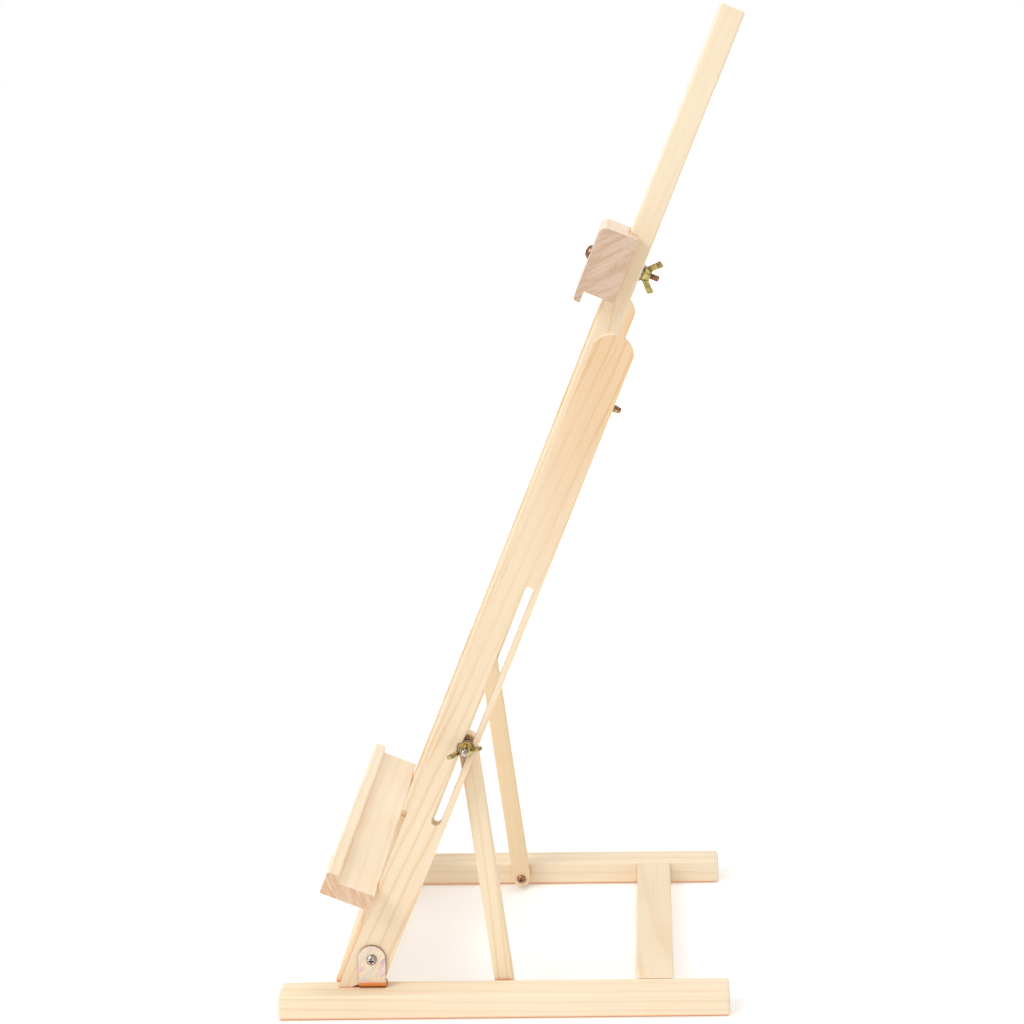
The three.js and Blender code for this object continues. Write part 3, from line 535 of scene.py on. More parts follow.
def piece(name, made, material, body, nodes, at=Matrix.Identity(4)):
    """Makes the object in metres, shades it, and hands it to the frame."""
    bmesh.ops.scale(made, vec=(MM, MM, MM), verts=made.verts[:])
    thing = as_object(made, name)
    mesh = thing.data
    mesh.materials.append(material)
    mesh.polygons.foreach_set("use_smooth", [True] * len(mesh.polygons))
    mesh.set_sharp_from_angle(angle=SHARP)
    weighted = thing.modifiers.new("normals", "WEIGHTED_NORMAL")
    weighted.keep_sharp = True
    weighted.weight = 80
    thing.matrix_world = at
    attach(thing, body)
    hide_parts(*nodes)
    return thing


def arc(u, v, radius, start, stop, steps):
    """Points on an arc, angles in degrees."""
    angles = [math.radians(start + (stop - start) * i / steps) for i in range(steps + 1)]
    return [(u + radius * math.cos(a), v + radius * math.sin(a)) for a in angles]


def circle(u, v, radius):
    """24 points, the first not repeated."""
    return arc(u, v, radius, 0, 345, 23)


def slot_loop(u, low, high, width):
    r = width / 2
    return arc(u, low + r, r, 180, 360, 12) + arc(u, high - r, r, 0, 180, 12)


def rect(u0, u1, v0, v1):
    return [(u0, v0), (u1, v0), (u1, v1), (u0, v1)]


# ---- camera, light and floor -----------------------------------------------------------------
SENSOR, LENS = 36.0, 79.87957                    # millimetres
CAMERA_SHIFT = -0.1870703                        # share of the picture's width
CAMERA_PLACE = (1.653434, 0.095944, 0.681271)    # metres
CAMERA_YAW, CAMERA_PITCH = 1.465, 11.776         # degrees
SKY_DIM, SKY_BRIGHT = 0.34, 0.98                 # patches of the soft surround
LIGHTS = (("key", (1.2, -1.6, 2.1), (0, 0, 0.3), 1.6, 34, (1, 1, 1)),
          ("fill", (2.4, 1.0, 0.9), (0, 0, 0.3), 1.8, 2, (1.0, 0.97, 0.92)),
          ("top", (-0.4, 0.4, 2.6), (0, 0, 0.2), 1.6, 21, (1, 1, 1)))
FLOOR_HALF, FLOOR_DROP = 30, 0.0004              # metres
FLOOR_NEAR_GLOW, FLOOR_FAR_GLOW = 0.16, 1.0
GLOW_FROM, GLOW_TO = 0.35, 2.2                   # metres from the easel


def make_camera():
    data = bpy.data.cameras.new("camera")
    data.sensor_width = SENSOR
    data.lens = LENS
    data.shift_x = CAMERA_SHIFT
    data.clip_start = 0.01
    camera = bpy.data.objects.new("camera", data)
    bpy.context.scene.collection.objects.link(camera)
    camera.location = CAMERA_PLACE
    camera.rotation_euler = (math.radians(90 - CAMERA_PITCH), 0, math.radians(90 - CAMERA_YAW))
    bpy.context.scene.camera = camera


def make_lights():
    for name, place, aim, size, power, colour in LIGHTS:
        data = bpy.data.lights.new(name, "AREA")
        data.size = size
        data.energy = power
        data.color = colour
        thing = bpy.data.objects.new(name, data)
        bpy.context.scene.collection.objects.link(thing)
        thing.location = place
        run = Vector(aim) - Vector(place)
        thing.rotation_euler = run.to_track_quat("-Z", "Y").to_euler()


def make_surround():
    """Soft light in broad patches all round, and plain white where the camera sees it."""
    scene = bpy.context.scene
    scene.view_settings.view_transform = "Standard"
    world = bpy.data.worlds.new("studio")
    scene.world = world
    world.use_nodes = True
    tree = world.node_tree
    soft = tree.nodes["Background"]
    soft.inputs["Color"].default_value = (1.0, 0.99, 0.975, 1)
    around = tree.nodes.new("ShaderNodeTexCoord")
    patches = tree.nodes.new("ShaderNodeTexNoise")
    patches.inputs["Scale"].default_value = 1.7
    level = tree.nodes.new("ShaderNodeMapRange")
    level.interpolation_type = "SMOOTHSTEP"
    for socket, number in zip(list(level.inputs)[1:5], (0.42, 0.58, SKY_DIM, SKY_BRIGHT)):
        socket.default_value = number
    tree.links.new(around.outputs["Generated"], patches.inputs["Vector"])
    tree.links.new(patches.outputs["Fac"], level.inputs[0])
    tree.links.new(level.outputs[0], soft.inputs["Strength"])
    backdrop = tree.nodes.new("ShaderNodeBackground")
    backdrop.inputs["Color"].default_value = (1, 1, 1, 1)
    choose = tree.nodes.new("ShaderNodeMixShader")
    rays = tree.nodes.new("ShaderNodeLightPath")
    tree.links.new(rays.outputs["Is Camera Ray"], choose.inputs[0])
    tree.links.new(soft.outputs[0], choose.inputs[1])
    tree.links.new(backdrop.outputs[0], choose.inputs[2])
    tree.links.new(choose.outputs[0], tree.nodes["World Output"].inputs[0])


def make_floor():
    """A pale floor that the camera sees brighten to white away from the easel."""
    graph = Graph("pale_floor")
    place = graph.node("TexCoord").outputs["Object"]
    grain = graph.noise(place, (3, 3, 3), 3)
    graph.put(graph.shader.inputs["Base Color"],
              graph.mix(grain, (0.90, 0.90, 0.90), (0.93, 0.93, 0.93)))
    graph.shader.inputs["Roughness"].default_value = 0.9
    graph.shader.inputs["Specular IOR Level"].default_value = 0.1
    graph.shader.inputs["Emission Color"].default_value = (1, 1, 1, 1)
    away = graph.vector("LENGTH", place)
    seen = graph.node("LightPath").outputs["Is Camera Ray"]
    far_glow = graph.smooth(away, GLOW_FROM, GLOW_TO, 0.0, FLOOR_FAR_GLOW)
    graph.put(graph.shader.inputs["Emission Strength"],
              graph.math("MULTIPLY_ADD", seen, far_glow, FLOOR_NEAR_GLOW))
    sheet = bmesh.new()
    bmesh.ops.create_grid(sheet, x_segments=8, y_segments=8, size=FLOOR_HALF)
    floor = as_object(sheet, "floor")
    floor.data.materials.append(graph.material)
    floor.location.z = -FLOOR_DROP


# ---- finishes --------------------------------------------------------------------------------
# the first colour is for the resin stains and for the painted clamp shadow on the mast; the second
# is painted shade in the struts' slot
RESIN_AND_SHADOW, SLOT_SHADE = (0.76, 0.48, 0.24), (0.13, 0.035, 0.012)
TRAY_WOOD = {"light": (0.935, 0.81, 0.63), "dark": (0.82, 0.58, 0.36), "end": (0.64, 0.38, 0.215)}
CLAMP_WOOD = {"light": (0.86, 0.74, 0.61), "dark": (0.75, 0.54, 0.37), "end": (0.56, 0.36, 0.235)}
UPRIGHT_WOOD = {"light": (0.88, 0.725, 0.53), "dark": (0.78, 0.515, 0.275)}
MAST_LIGHT, FOOT_BAR_END = (0.895, 0.76, 0.57), (0.88, 0.72, 0.51)
STRUT_LIGHT = {"right": (0.905, 0.76, 0.55), "left": (0.86, 0.68, 0.45)}
STEEL = metal("screw_steel_finish", (0.60, 0.56, 0.54), (0.36, 0.27, 0.22), 0.12)
# painted reflection: yellow zinc plate, its colour darkened to copper-brown to stand for the wood
# reflected in it; used on the mast bolts and the strut screws
ZINC_AND_REFLECTION = metal("mast_bolt_zinc_and_painted_reflection", (0.50, 0.27, 0.17), (0.25, 0.12, 0.08), 0.14,
                worn=(0.80, 0.62, 0.50))
BRASS = metal("wing_nut_finish", (0.66, 0.54, 0.19), (0.24, 0.19, 0.08), 0.10,
              worn=(0.95, 0.86, 0.58), hollow_shade=(0.10, 0.06, 0.02))
ZINC = rainbow_zinc("bracket_finish")
DOWEL_REACH = 0.2                                # metres, past the ends of every dowel
BEECH = wood("beech", "x", 9.1, (-DOWEL_REACH, DOWEL_REACH), light=(0.76, 0.55, 0.37),
             dark=(0.62, 0.40, 0.24), end=(0.5, 0.31, 0.19), spacing=0.0016)


# ---- base ------------------------------------------------------------------------------------
def cad_box(node):
    """A CAD node's lowest and highest corners, in millimetres."""
    return [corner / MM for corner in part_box(node)]


def make_base():
    for word, side in SIDES:
        low, high = cad_box(f"rail_{word}")
        rail = prism(rect(low.x, high.x, 0, RAIL_TOP), low.y, high.y, "y")
        ease(rail, RAIL_EASE, 4)
        finish = wood(f"pine_rail_{word}", "y", 1.3 + side, (low.y * MM, high.y * MM),
                      pith=(-0.03, 0.16 * side), spacing=0.0070, tilt=0.02)
        piece(f"rail_board_{word}", rail, finish, "base", [f"rail_{word}"])
    low, high = cad_box("base_crossbar")
    bar = ease_along_x(prism(rect(low.y, high.y, 0, high.z), low.x, high.x, "x"), BAR_EASE)
    finish = wood("pine_base_crossbar", "x", 3.7, (low.x * MM, high.x * MM),
                  pith=(0.11, -0.03), tilt=0.02)
    piece("base_crossbar_board", bar, finish, "base", ["base_crossbar"])


# ---- tilting frame ---------------------------------------------------------------------------
def leaned(y, z):
    """A point given level and plumb from the pivot, in the leaning frame."""
    return (y * math.cos(LEAN) - z * math.sin(LEAN), y * math.sin(LEAN) + z * math.cos(LEAN))


def upright_outline():
    """A board with a round top, and a foot that is an arc about the pivot with its toe cut off."""
    foot = math.degrees(-math.pi / 2 + LEAN)
    rear = -math.degrees(math.acos(UPRIGHT_REAR / FOOT_REACH))
    crown = UPRIGHT_TOP - TOP_RADIUS
    from_rear = math.degrees(math.acos(UPRIGHT_REAR / TOP_RADIUS))
    to_front = 180 - math.degrees(math.acos(UPRIGHT_FRONT / TOP_RADIUS))
    sole = PIVOT.z - RAIL_TOP - GAP
    toe = (-sole - UPRIGHT_FRONT * math.sin(LEAN)) / math.cos(LEAN)
    return ([(-UPRIGHT_FRONT, toe), leaned(-TOE_FLAT, -sole), leaned(-TOE_SLOPE, -FOOT_REACH)]
            + arc(0, 0, FOOT_REACH, foot, rear, 6)
            + arc(0, crown, TOP_RADIUS, from_rear, to_front, 26))


UPRIGHT_STREAKS = {
    "right": (((0.1290, 0.0014, 0.474), (0.1290, -0.0037, 0.437), 0.0005, RESIN_AND_SHADOW),
              ((0.1290, 0.0088, 0.410), (0.1290, 0.0072, 0.352), 0.0005, RESIN_AND_SHADOW)),
    "left": (((-0.1290, -0.004, 0.300), (-0.1290, -0.001, 0.226), 0.0005, RESIN_AND_SHADOW),),
}


def make_uprights():
    for word, side in SIDES:
        holes = [slot_loop(SLOT_OFFSET, SLOT_LOW, SLOT_HIGH, SLOT_WIDTH),
                 circle(0, 0, PIVOT_HOLE_R)]
        board = prism(upright_outline(), UPRIGHT_IN, UPRIGHT_OUT, "x", holes)
        ease(board, 0.35, 2, holes=True)
        ease(board, UPRIGHT_EASE, 4)
        finish = wood(f"pine_upright_{word}", "z", 5.2 + side, (-0.03, UPRIGHT_TOP * MM),
                      pith=(0.35 * side, -0.10), spacing=0.0037, tilt=-0.03, figure=0.74,
                      warm=(0.28, 0.46), streaks=UPRIGHT_STREAKS[word], **UPRIGHT_WOOD)
        piece(f"upright_board_{word}", flip_side(board, side), finish, "frame",
              [f"upright_{word}"], FRAME_AT)


def bar_between(low, high, front):
    """A crossbar's blank between the uprights."""
    half = UPRIGHT_IN - GAP
    made = prism(rect(-front, BAR_THICK - front, low, high), -half, half, "x")
    return ease_along_x(made, BAR_EASE)


def make_crossbars():
    half_run = (UPRIGHT_IN - GAP) * MM
    foot = bar_between(FOOT_BAR_LOW, FOOT_BAR_HIGH, FOOT_BAR_FRONT)
    finish = wood("pine_foot_crossbar", "x", 7.9, (-half_run, half_run), pith=(-0.05, 0.02),
                  end=FOOT_BAR_END)
    piece("foot_crossbar_board", foot, finish, "frame", ["foot_crossbar"], FRAME_AT)

    half = HEAD_BAR_HEIGHT / 2
    blank = bar_between(HEAD_BAR_S - half, HEAD_BAR_S + half, BAR_THICK - HEAD_BAR_REAR)
    reach = MAST_WIDE / 2 + MAST_CLEAR
    housing = prism(rect(-PAST, MAST_REAR + GAP, HEAD_BAR_S - PAST, HEAD_BAR_S + PAST),
                    -reach, reach, "x")
    bolt_hole = prism(circle(0, HEAD_BAR_S, BOLT_HOLE_R), -PAST, PAST, "y")
    head = combine(blank, "DIFFERENCE", housing, bolt_hole)
    finish = wood("pine_head_crossbar", "x", 8.6, (-half_run, half_run), pith=(0.04, -0.38),
                  spacing=0.0056)
    piece("head_crossbar_board", head, finish, "frame", ["head_crossbar"], FRAME_AT)


def make_tray():
    back = -UPRIGHT_FRONT - GAP
    front = back - TRAY_DEPTH
    lip = front + TRAY_LIP_THICK
    r, back_r, cove_r = 1.6, 1, 0.8
    outline = (arc(back - back_r, TRAY_UNDER + back_r, back_r, -90, 0, 4)
               + arc(back - back_r, TRAY_FLOOR - back_r, back_r, 0, 90, 4)
               + arc(lip + cove_r, TRAY_FLOOR + cove_r, cove_r, 270, 180, 4)
               + arc(lip - r, TRAY_LIP - r, r, 0, 90, 6)
               + arc(front + r, TRAY_LIP - r, r, 90, 180, 6)
               + arc(front + r, TRAY_UNDER + r, r, 180, 270, 6))
    board = prism(outline, -TRAY_LENGTH / 2, TRAY_LENGTH / 2, "x")
    ease(board, TRAY_EASE, least=0.9)
    half_run = TRAY_LENGTH / 2 * MM
    finish = wood("pine_tray", "x", 11.4, (-half_run, half_run), pith=(0.03, -0.05),
                  spacing=0.0052, **TRAY_WOOD)
    piece("tray_board", board, finish, "frame", ["tray"], FRAME_AT)


# ---- mast and clamp --------------------------------------------------------------------------
# painted shadow: the clamp's shadow on the mast's near side, drawn as a soft orange streak just
# below the clamp
MAST_SHADOW_STREAKS = (((0.0135, -0.0085, 0.488), (0.0135, -0.0040, 0.462), 0.0016, RESIN_AND_SHADOW),)


def make_mast():
    half = MAST_WIDE / 2
    loops = [slot_loop(0, low, high, MAST_SLOT) for low, high in MAST_SLOTS]
    board = prism(rect(-half, half, MAST_LOW, MAST_HIGH), -MAST_FRONT, MAST_REAR, "y", loops)
    ease(board, 0.4, 2, holes=True)
    ease(board, MAST_EASE, 4)
    wider = (GROOVE_WIDE - MAST_SLOT) / 2
    low, high = MAST_SLOTS[0]
    groove = prism(slot_loop(0, low - wider, high + wider, GROOVE_WIDE),
                   -MAST_FRONT - PAST, GROOVE_DEEP - MAST_FRONT, "y")
    board = combine(board, "DIFFERENCE", groove)
    finish = wood("pine_mast", "z", 13.8, (MAST_LOW * MM, MAST_HIGH * MM), pith=(0.02, 0.07),
                  light=MAST_LIGHT, spacing=0.0062, tilt=0.05, streaks=MAST_SHADOW_STREAKS)
    piece("mast_board", board, finish, "mast", ["mast"], FRAME_AT)


def make_clamp():
    back, front = -CLAMP_BACK, -CLAMP_FRONT
    low, high = CLAMP_S - CLAMP_DOWN, CLAMP_S + CLAMP_UP
    foot = low - CLAMP_LIP_DROP
    inner = front + CLAMP_LIP_THICK
    crown_r, edge_r, toe_r, root = 5.5, 1.2, 2.2, 0.6
    outline = ([(back, low)]
               + arc(back - edge_r, high - edge_r, edge_r, 0, 90, 4)
               + arc(front + crown_r, high - crown_r, crown_r, 90, 180, 10)
               + arc(front + toe_r, foot + toe_r, toe_r, 180, 270, 6)
               + arc(inner - edge_r, foot + edge_r, edge_r, 270, 360, 4)
               + [(inner, low - root), (inner + root, low)])
    blank = prism(outline, -CLAMP_LENGTH / 2, CLAMP_LENGTH / 2, "x")
    half = MAST_WIDE / 2 + MAST_CLEAR
    housing = prism(rect(-MAST_FRONT - GAP, PAST, CLAMP_S - PAST, CLAMP_S + PAST),
                    -half, half, "x")
    bolt_hole = prism(circle(0, CLAMP_S, BOLT_HOLE_R), -PAST, PAST, "y")
    block = combine(blank, "DIFFERENCE", housing, bolt_hole)
    edges = [edge for edge in block.edges if edge.is_manifold and edge.calc_face_angle() > 0.9
             and all(abs(vert.co.x) > half + 1 for vert in edge.verts)]
    bevel(block, edges, 1.0, 3)
    half_run = CLAMP_LENGTH / 2 * MM
    finish = wood("pine_clamp", "x", 17.2, (-half_run, half_run), pith=(-0.01, 0.47),
                  spacing=0.0046, end_slope=-1, end_cells=170, **CLAMP_WOOD)
    piece("clamp_board", block, finish, "clamp", ["clamp_block"], FRAME_AT)


# ---- struts ----------------------------------------------------------------------------------
def make_struts():
    r = STRUT_WIDE / 2
    for word, side in SIDES:
        outline = arc(0, 0, r, 180, 360, 24) + arc(0, STRUT_REACH, r, 0, 180, 24)
        holes = [circle(0, 0, STRUT_FOOT_HOLE_R), circle(0, STRUT_REACH, BOLT_HOLE_R)]
        board = prism(outline, STRUT_IN, STRUT_OUT, "x", holes)
        ease(board, 0.3, 2, holes=True)
        ease(board, STRUT_EASE)
        # painted shade: a dark patch on the strut's outer face round the bolt, where the slot in the
        # upright lies in shade
        face = side * STRUT_OUT * MM
        slot_shade = ((face, 0, (STRUT_REACH - 1) * MM), (face, 0, (STRUT_REACH + 4) * MM),
                  0.0058, SLOT_SHADE)
        finish = wood(f"pine_strut_{word}", "z", 19.5 + side, (-r * MM, (STRUT_REACH + r) * MM),
                      pith=(0.05 * side, 0.11), light=STRUT_LIGHT[word], spacing=0.0056,
                      tilt=0.04, streaks=(slot_shade,))
        piece(f"strut_board_{word}", flip_side(board, side), finish, f"strut_{word}",
              [f"strut_{word}"], STRUT_AT)


# ---- hardware --------------------------------------------------------------------------------
def towards(axis, place, side=1):
    """A matrix that carries a part turned about z to the given axis and place (mm)."""
    turn = {"x": Matrix.Rotation(side * math.pi / 2, 4, "Y"),
            "y": Matrix.Rotation(-math.pi / 2, 4, "X"),
            "z": Matrix.Identity(4)}[axis]
    return Matrix.Translation(Vector(place) * MM) @ turn


ARM_WIDE, MOUTH, FLOOR = 0.28, 1.1, 0.42         # shares of a cross recess's radius


def cross_cut(radius, depth, top):
    """A tapered cross-point recess whose mouth is at height top."""
    tools = []
    for long, slim in ((radius, radius * ARM_WIDE), (radius * ARM_WIDE, radius)):
        made = bmesh.new()
        rings = []
        for share, height in ((MOUTH, top + 0.5), (FLOOR, top - depth)):
            corners = ((-1, -1), (1, -1), (1, 1), (-1, 1))
            rings.append([made.verts.new((sx * long * share, sy * slim * share, height))
                          for sx, sy in corners])
        made.faces.new(rings[0])
        made.faces.new(rings[1][::-1])
        for step in range(4):
            nxt = (step + 1) % 4
            made.faces.new((rings[0][step], rings[1][step], rings[1][nxt], rings[0][nxt]))
        bmesh.ops.recalc_face_normals(made, faces=made.faces[:])
        tools.append(made)
    return tools


def steps_between(radius, start, stop, step=0.2):
    """Rows of one radius, close enough together to carry a thread."""
    count = round(abs(stop - start) / step)
    return [(radius, start + (stop - start) * i / count) for i in range(count + 1)]


BOLT_PITCH, BOLT_GROOVE, WOOD_PITCH = 0.9, 0.38, 1.4


def bolt_tip(end):
    """The rounded end of a bolt's thread."""
    return [(BOLT_R - 0.35, end - 0.55), (BOLT_R - 0.9, end - 0.12), (BOLT_R - 1.3, end), (0, end)]


def domed_bolt(seat, end):
    """Mushroom head below seat, threaded shank up to end, about z."""
    head = [(0, seat - 3.4), (1.2, seat - 3.33), (2.4, seat - 3.05), (3.5, seat - 2.6),
            (4.4, seat - 1.95), (5.1, seat - 1.2), (5.5, seat - 0.6), (5.6, seat - 0.3),
            (5.5, seat - 0.05), (5.3, seat)]
    shank = steps_between(BOLT_R, seat + 0.01, end - 1.0)
    return revolve(head + shank + bolt_tip(end), 40, (seat + 10, end - 0.8, BOLT_PITCH, BOLT_GROOVE))


def ring_washer(low, hole, outer=WASHER_R, thick=WASHER_THICK, r=0.22, steps=48):
    """A flat washer with softened rims, about z."""
    high = low + thick
    return revolve([(hole + r, low), (outer - r, low), (outer, low + r), (outer, high - r),
                    (outer - r, high), (hole + r, high), (hole, high - r), (hole, low + r)], steps)


NUT_HIGH, EAR_HALF, EAR_EASE = 5.9, 1.0, 0.6


def wing_nut(seat, turn):
    """Cast wing nut about z: flanged hub, two flaring ears, threaded bore."""
    hub = revolve([(0, seat), (5.4, seat), (5.8, seat + 0.4), (5.8, seat + 1.1),
                   (5.4, seat + 1.8), (4.9, seat + 2.6), (4.5, seat + 4.2), (4.3, seat + 5.3),
                   (3.9, seat + NUT_HIGH), (0, seat + NUT_HIGH)], 48)
    ears = []
    for side in (1, -1):
        outline = [(3.0, 1.0), (5.8, 1.6), (8.4, 3.9), (12.0, 7.3)]
        outline += arc(11.5, 8.5, 1.2, -20, 40, 4) + arc(9.9, 10.9, 1.1, 50, 140, 6)
        outline += [(6.2, 8.2), (3.0, 5.3)]
        blade = prism([(side * u, v + seat) for u, v in outline], -EAR_HALF, EAR_HALF, "y")
        ease(blade, EAR_EASE, least=0.7)
        ears.append(blade)
    solid = combine(hub, "UNION", *ears)
    bore = revolve([(0, seat - 1)] + steps_between(BOLT_R + 0.12, seat - 0.5, seat + 7)
                   + [(0, seat + 8)], 32, (seat + 0.2, seat + 6, BOLT_PITCH, -0.22))
    made = combine(solid, "DIFFERENCE", bore)
    bmesh.ops.rotate(made, verts=made.verts[:], cent=(0, 0, 0),
                     matrix=Matrix.Rotation(math.radians(turn), 3, "Z"))
    return made


BEND_CUTS = 8


def make_brackets():
    """An L of plate: foot under the upright, bend at the corner, leg round-headed."""
    low = RAIL_TOP + GAP
    mid = BRACKET_BEND - PLATE / 2
    foot_run = BRACKET_X + PLATE - BRACKET_BEND - BRACKET_INNER
    bend_run = mid * math.pi / 2
    leg_run = BRACKET_RISE - BRACKET_BEND
    total = foot_run + bend_run + leg_run
    half, corner = BRACKET_WIDE / 2, 1.2
    pivot_u = foot_run + bend_run + PIVOT.z - low - BRACKET_BEND
    outline = (arc(corner, corner - half, corner, 180, 270, 4)
               + arc(total - half, 0, half, -90, 90, 28)
               + arc(corner, half - corner, corner, 90, 180, 4))
    holes = [circle(pivot_u, 0, PIVOT_HOLE_R),
             circle(BRACKET_SCREW_X - BRACKET_INNER, 0, BRACKET_SCREW_HOLE_R)]
    for word, side in SIDES:
        plate = prism(outline, 0, PLATE, "z", holes)
        ease(plate, 0.25, 2, holes=True)
        ease(plate, 0.3, 2)
        for i in range(BEND_CUTS + 1):
            bmesh.ops.bisect_plane(
                plate, geom=plate.verts[:] + plate.edges[:] + plate.faces[:],
                plane_co=(foot_run + bend_run * i / BEND_CUTS, 0, 0), plane_no=(1, 0, 0))
        for vert in plate.verts:
            u, v, w = vert.co
            angle = max(0.0, min(1.0, (u - foot_run) / bend_run)) * math.pi / 2
            risen = max(0.0, u - foot_run - bend_run)
            reach = BRACKET_BEND - w
            x = BRACKET_INNER + min(u, foot_run) + reach * math.sin(angle)
            z = low + BRACKET_BEND - reach * math.cos(angle) + risen
            vert.co = (x, PIVOT.y + v, z)
        bmesh.ops.recalc_face_normals(plate, faces=plate.faces[:])
        piece(f"bracket_plate_{word}", flip_side(plate, side), ZINC, "base",
              [f"hinge_bracket_{word}"])


# screw heads, each from its middle to its shank
FLAT_HEAD = ((0, 0), (2.75, 0), (2.9, -0.12), (1.45, -1.6))
PAN_HEAD = ((0, 2.8), (1.2, 2.78), (2.2, 2.6), (2.9, 2.28), (3.4, 1.8), (3.7, 1.2), (3.75, 0.5),
            (3.7, 0.1), (3.6, 0), (1.95, 0))
BUTTON_HEAD = ((0, -2.5), (1.1, -2.47), (2.0, -2.25), (2.8, -1.8), (3.3, -1.2), (3.6, -0.5),
               (3.55, -0.1), (3.4, 0), (1.95, 0))
LONG_HEAD = ((0, 0), (2.9, 0), (3.9, -0.2), (1.55, -2.9))


def bracket_screw():
    shank = steps_between(1.45, -2.2, -13) + [(0.5, -14.4), (0, -15)]
    screw = revolve([*FLAT_HEAD, *shank], 28, (-12.8, -3, WOOD_PITCH, 0.4))
    return combine(screw, "DIFFERENCE", *cross_cut(1.7, 1.0, 0))


def pivot_screw():
    shank = steps_between(1.95, -0.1, -10) + [(1.3, -10.9), (0, -11.4)]
    screw = revolve([*PAN_HEAD, *shank], 36)
    return combine(screw, "DIFFERENCE", *cross_cut(2.2, 1.6, 2.8))


def strut_screw():
    shank = steps_between(1.95, 0.2, 25) + [(1.3, 26.4), (0, 27.6)]
    screw = revolve([*BUTTON_HEAD, *shank], 32, (13.5, 24.8, WOOD_PITCH, 0.45))
    bmesh.ops.rotate(screw, verts=screw.verts[:], cent=(0, 0, 0),
                     matrix=Matrix.Rotation(math.pi, 3, "Y"))
    return combine(screw, "DIFFERENCE", *cross_cut(2.1, 1.4, 2.5))


def tray_screw():
    shank = steps_between(1.55, -3.1, -38) + [(0.5, -41), (0, -42)]
    screw = revolve([*LONG_HEAD, *shank], 28, (-38, -18, WOOD_PITCH, 0.4))
    return combine(screw, "DIFFERENCE", *cross_cut(2.3, 1.4, 0))


def make_screws():
    foot_y, foot_z = STRUT_FOOT.y, STRUT_FOOT.z
    plate_top = RAIL_TOP + GAP + PLATE + HAIR
    upright_mid = (UPRIGHT_IN + UPRIGHT_OUT) / 2
    tray_s = (TRAY_UNDER + TRAY_FLOOR) / 2
    for word, side in SIDES:
        at = towards("z", (side * BRACKET_SCREW_X, PIVOT.y, plate_top))
        piece(f"bracket_screw_steel_{word}", bracket_screw(), STEEL, "base",
              [f"bracket_screw_{word}"], at)
        at = towards("x", (side * (BRACKET_X + PLATE + SEAT_GAP / 2), PIVOT.y, PIVOT.z), side)
        piece(f"pivot_screw_steel_{word}", pivot_screw(), STEEL, "base",
              [f"pivot_screw_{word}"], at)
        at = towards("x", (side * (STRUT_IN - SEAT_GAP), foot_y, foot_z), -side)
        piece(f"strut_screw_steel_{word}", strut_screw(), ZINC_AND_REFLECTION, "base",
              [f"strut_screw_{word}"], at)
        at = towards("x", (side * (STRUT_OUT + SEAT_GAP), foot_y, foot_z), side)
        piece(f"strut_washer_steel_{word}", ring_washer(0, 2.4, 5.4, 0.9, 0.2, 40), STEEL,
              "base", [f"strut_washer_{word}"], at)
        at = FRAME_AT @ towards("y", (side * upright_mid, UPRIGHT_REAR - 0.4, tray_s))
        piece(f"tray_screw_steel_{word}", tray_screw(), STEEL, "frame",
              [f"tray_screw_{word}"], at)


SLOT_NUT_TURN = {"right": 16, "left": 68}        # degrees above level, toward the rear


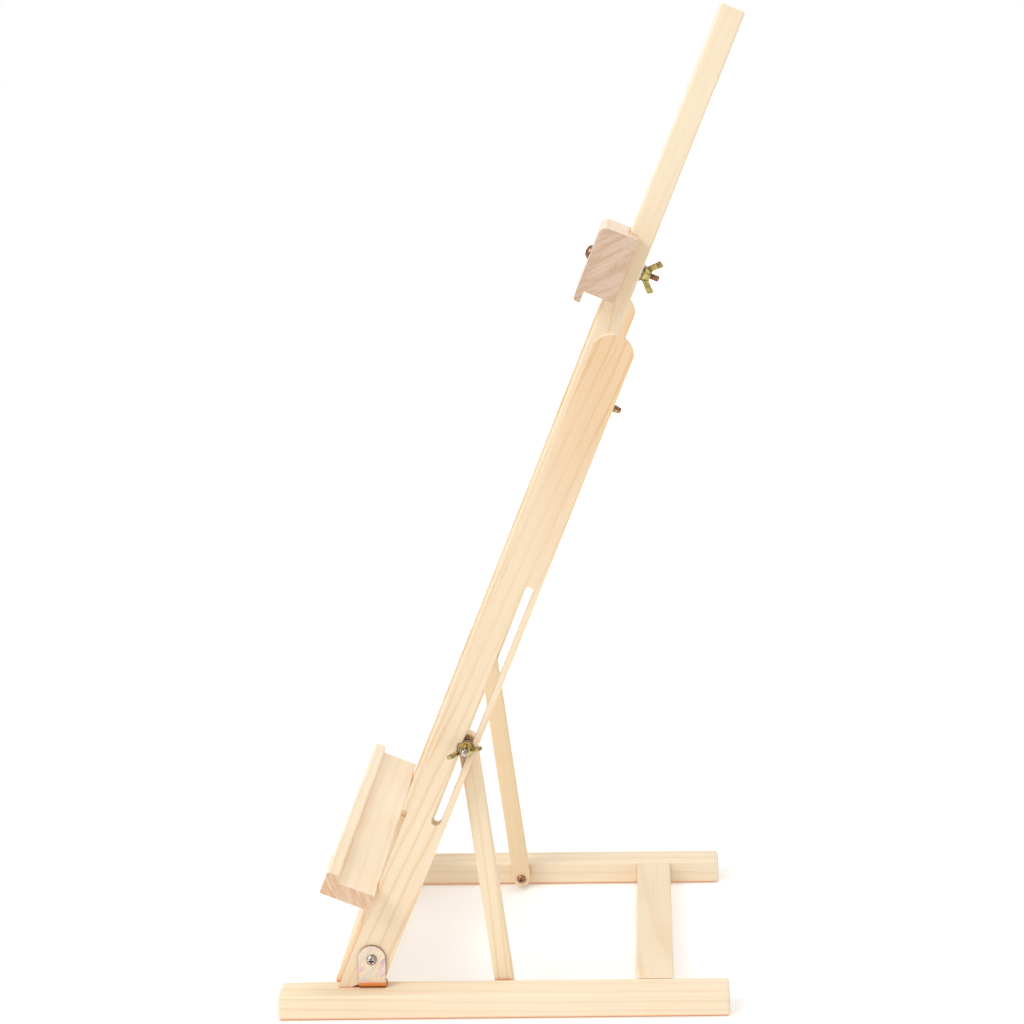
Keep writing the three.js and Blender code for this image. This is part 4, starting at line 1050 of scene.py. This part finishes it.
def make_slot_hardware():
    seat = STRUT_IN - SEAT_GAP
    stop = STRUT_OUT - GAP
    start, end = UPRIGHT_IN + SEAT_GAP, UPRIGHT_OUT + 13.4
    for word, side in SIDES:
        at = towards("x", (0, BOLT_AT.y, BOLT_AT.z), side)
        head = revolve([(0, seat - 3.3), (1.3, seat - 3.22), (2.5, seat - 2.9),
                        (3.6, seat - 2.35), (4.5, seat - 1.6), (5.0, seat - 1.0),
                        (5.2, seat - 0.4), (5.1, seat - 0.05), (4.9, seat), (BOLT_R, seat),
                        (BOLT_R, stop), (0, stop)], 40)
        piece(f"slot_bolt_head_steel_{word}", head, STEEL, f"strut_{word}",
              [f"slot_bolt_head_{word}"], at)
        tail = revolve([(0, start)] + steps_between(BOLT_R, start, end - 1.0) + bolt_tip(end),
                       40, (start + 0.4, end - 0.8, BOLT_PITCH, BOLT_GROOVE))
        piece(f"slot_bolt_steel_{word}", tail, STEEL, f"rider_{word}", [f"slot_bolt_{word}"],
              at)
        ring = ring_washer(UPRIGHT_OUT + SEAT_GAP, WASHER_HOLE_R)
        piece(f"slot_washer_steel_{word}", ring, STEEL, f"rider_{word}",
              [f"slot_washer_{word}"], at)
        nut = wing_nut(UPRIGHT_OUT + WASHER_THICK + 2 * SEAT_GAP,
                       90 + side * SLOT_NUT_TURN[word])
        piece(f"slot_nut_brass_{word}", nut, BRASS, f"slot_nut_{word}",
              [f"slot_wing_nut_{word}"], at)


def make_lock(name, body, at, bolt_seat, bolt_end, washer_seat, turn):
    """A domed bolt through the wood, with its washer and wing nut behind."""
    piece(f"{name}_bolt_steel", domed_bolt(bolt_seat - SEAT_GAP, bolt_end), ZINC_AND_REFLECTION, body,
          [f"{name}_bolt"], at)
    piece(f"{name}_washer_steel", ring_washer(washer_seat, WASHER_HOLE_R), STEEL, body,
          [f"{name}_washer"], at)
    piece(f"{name}_nut_brass", wing_nut(washer_seat + WASHER_THICK + SEAT_GAP, turn), BRASS,
          f"{name}_nut", [f"{name}_wing_nut"], at)


def make_mast_hardware():
    lock_seat = HEAD_BAR_REAR + SEAT_GAP
    make_lock("mast_lock", "frame", FRAME_AT @ towards("y", (0, 0, HEAD_BAR_S)),
              GROOVE_DEEP - MAST_FRONT, lock_seat + 15, lock_seat, 0)
    make_lock("clamp", "clamp", FRAME_AT @ towards("y", (0, 0, CLAMP_S)),
              -CLAMP_FRONT, 16, MAST_REAR + SEAT_GAP, 90)


def finish_dowels():
    """The dowels stay as the CAD has them, inside the joints, in beech."""
    for name, node in frame["nodes"].items():
        if "dowel" in name:
            for index in range(len(node.material_slots)):
                node.material_slots[index].material = BEECH


make_camera()
make_lights()
make_surround()
make_floor()
make_base()
make_uprights()
make_crossbars()
make_tray()
make_mast()
make_clamp()
make_struts()
make_brackets()
make_screws()
make_slot_hardware()
make_mast_hardware()
finish_dowels()
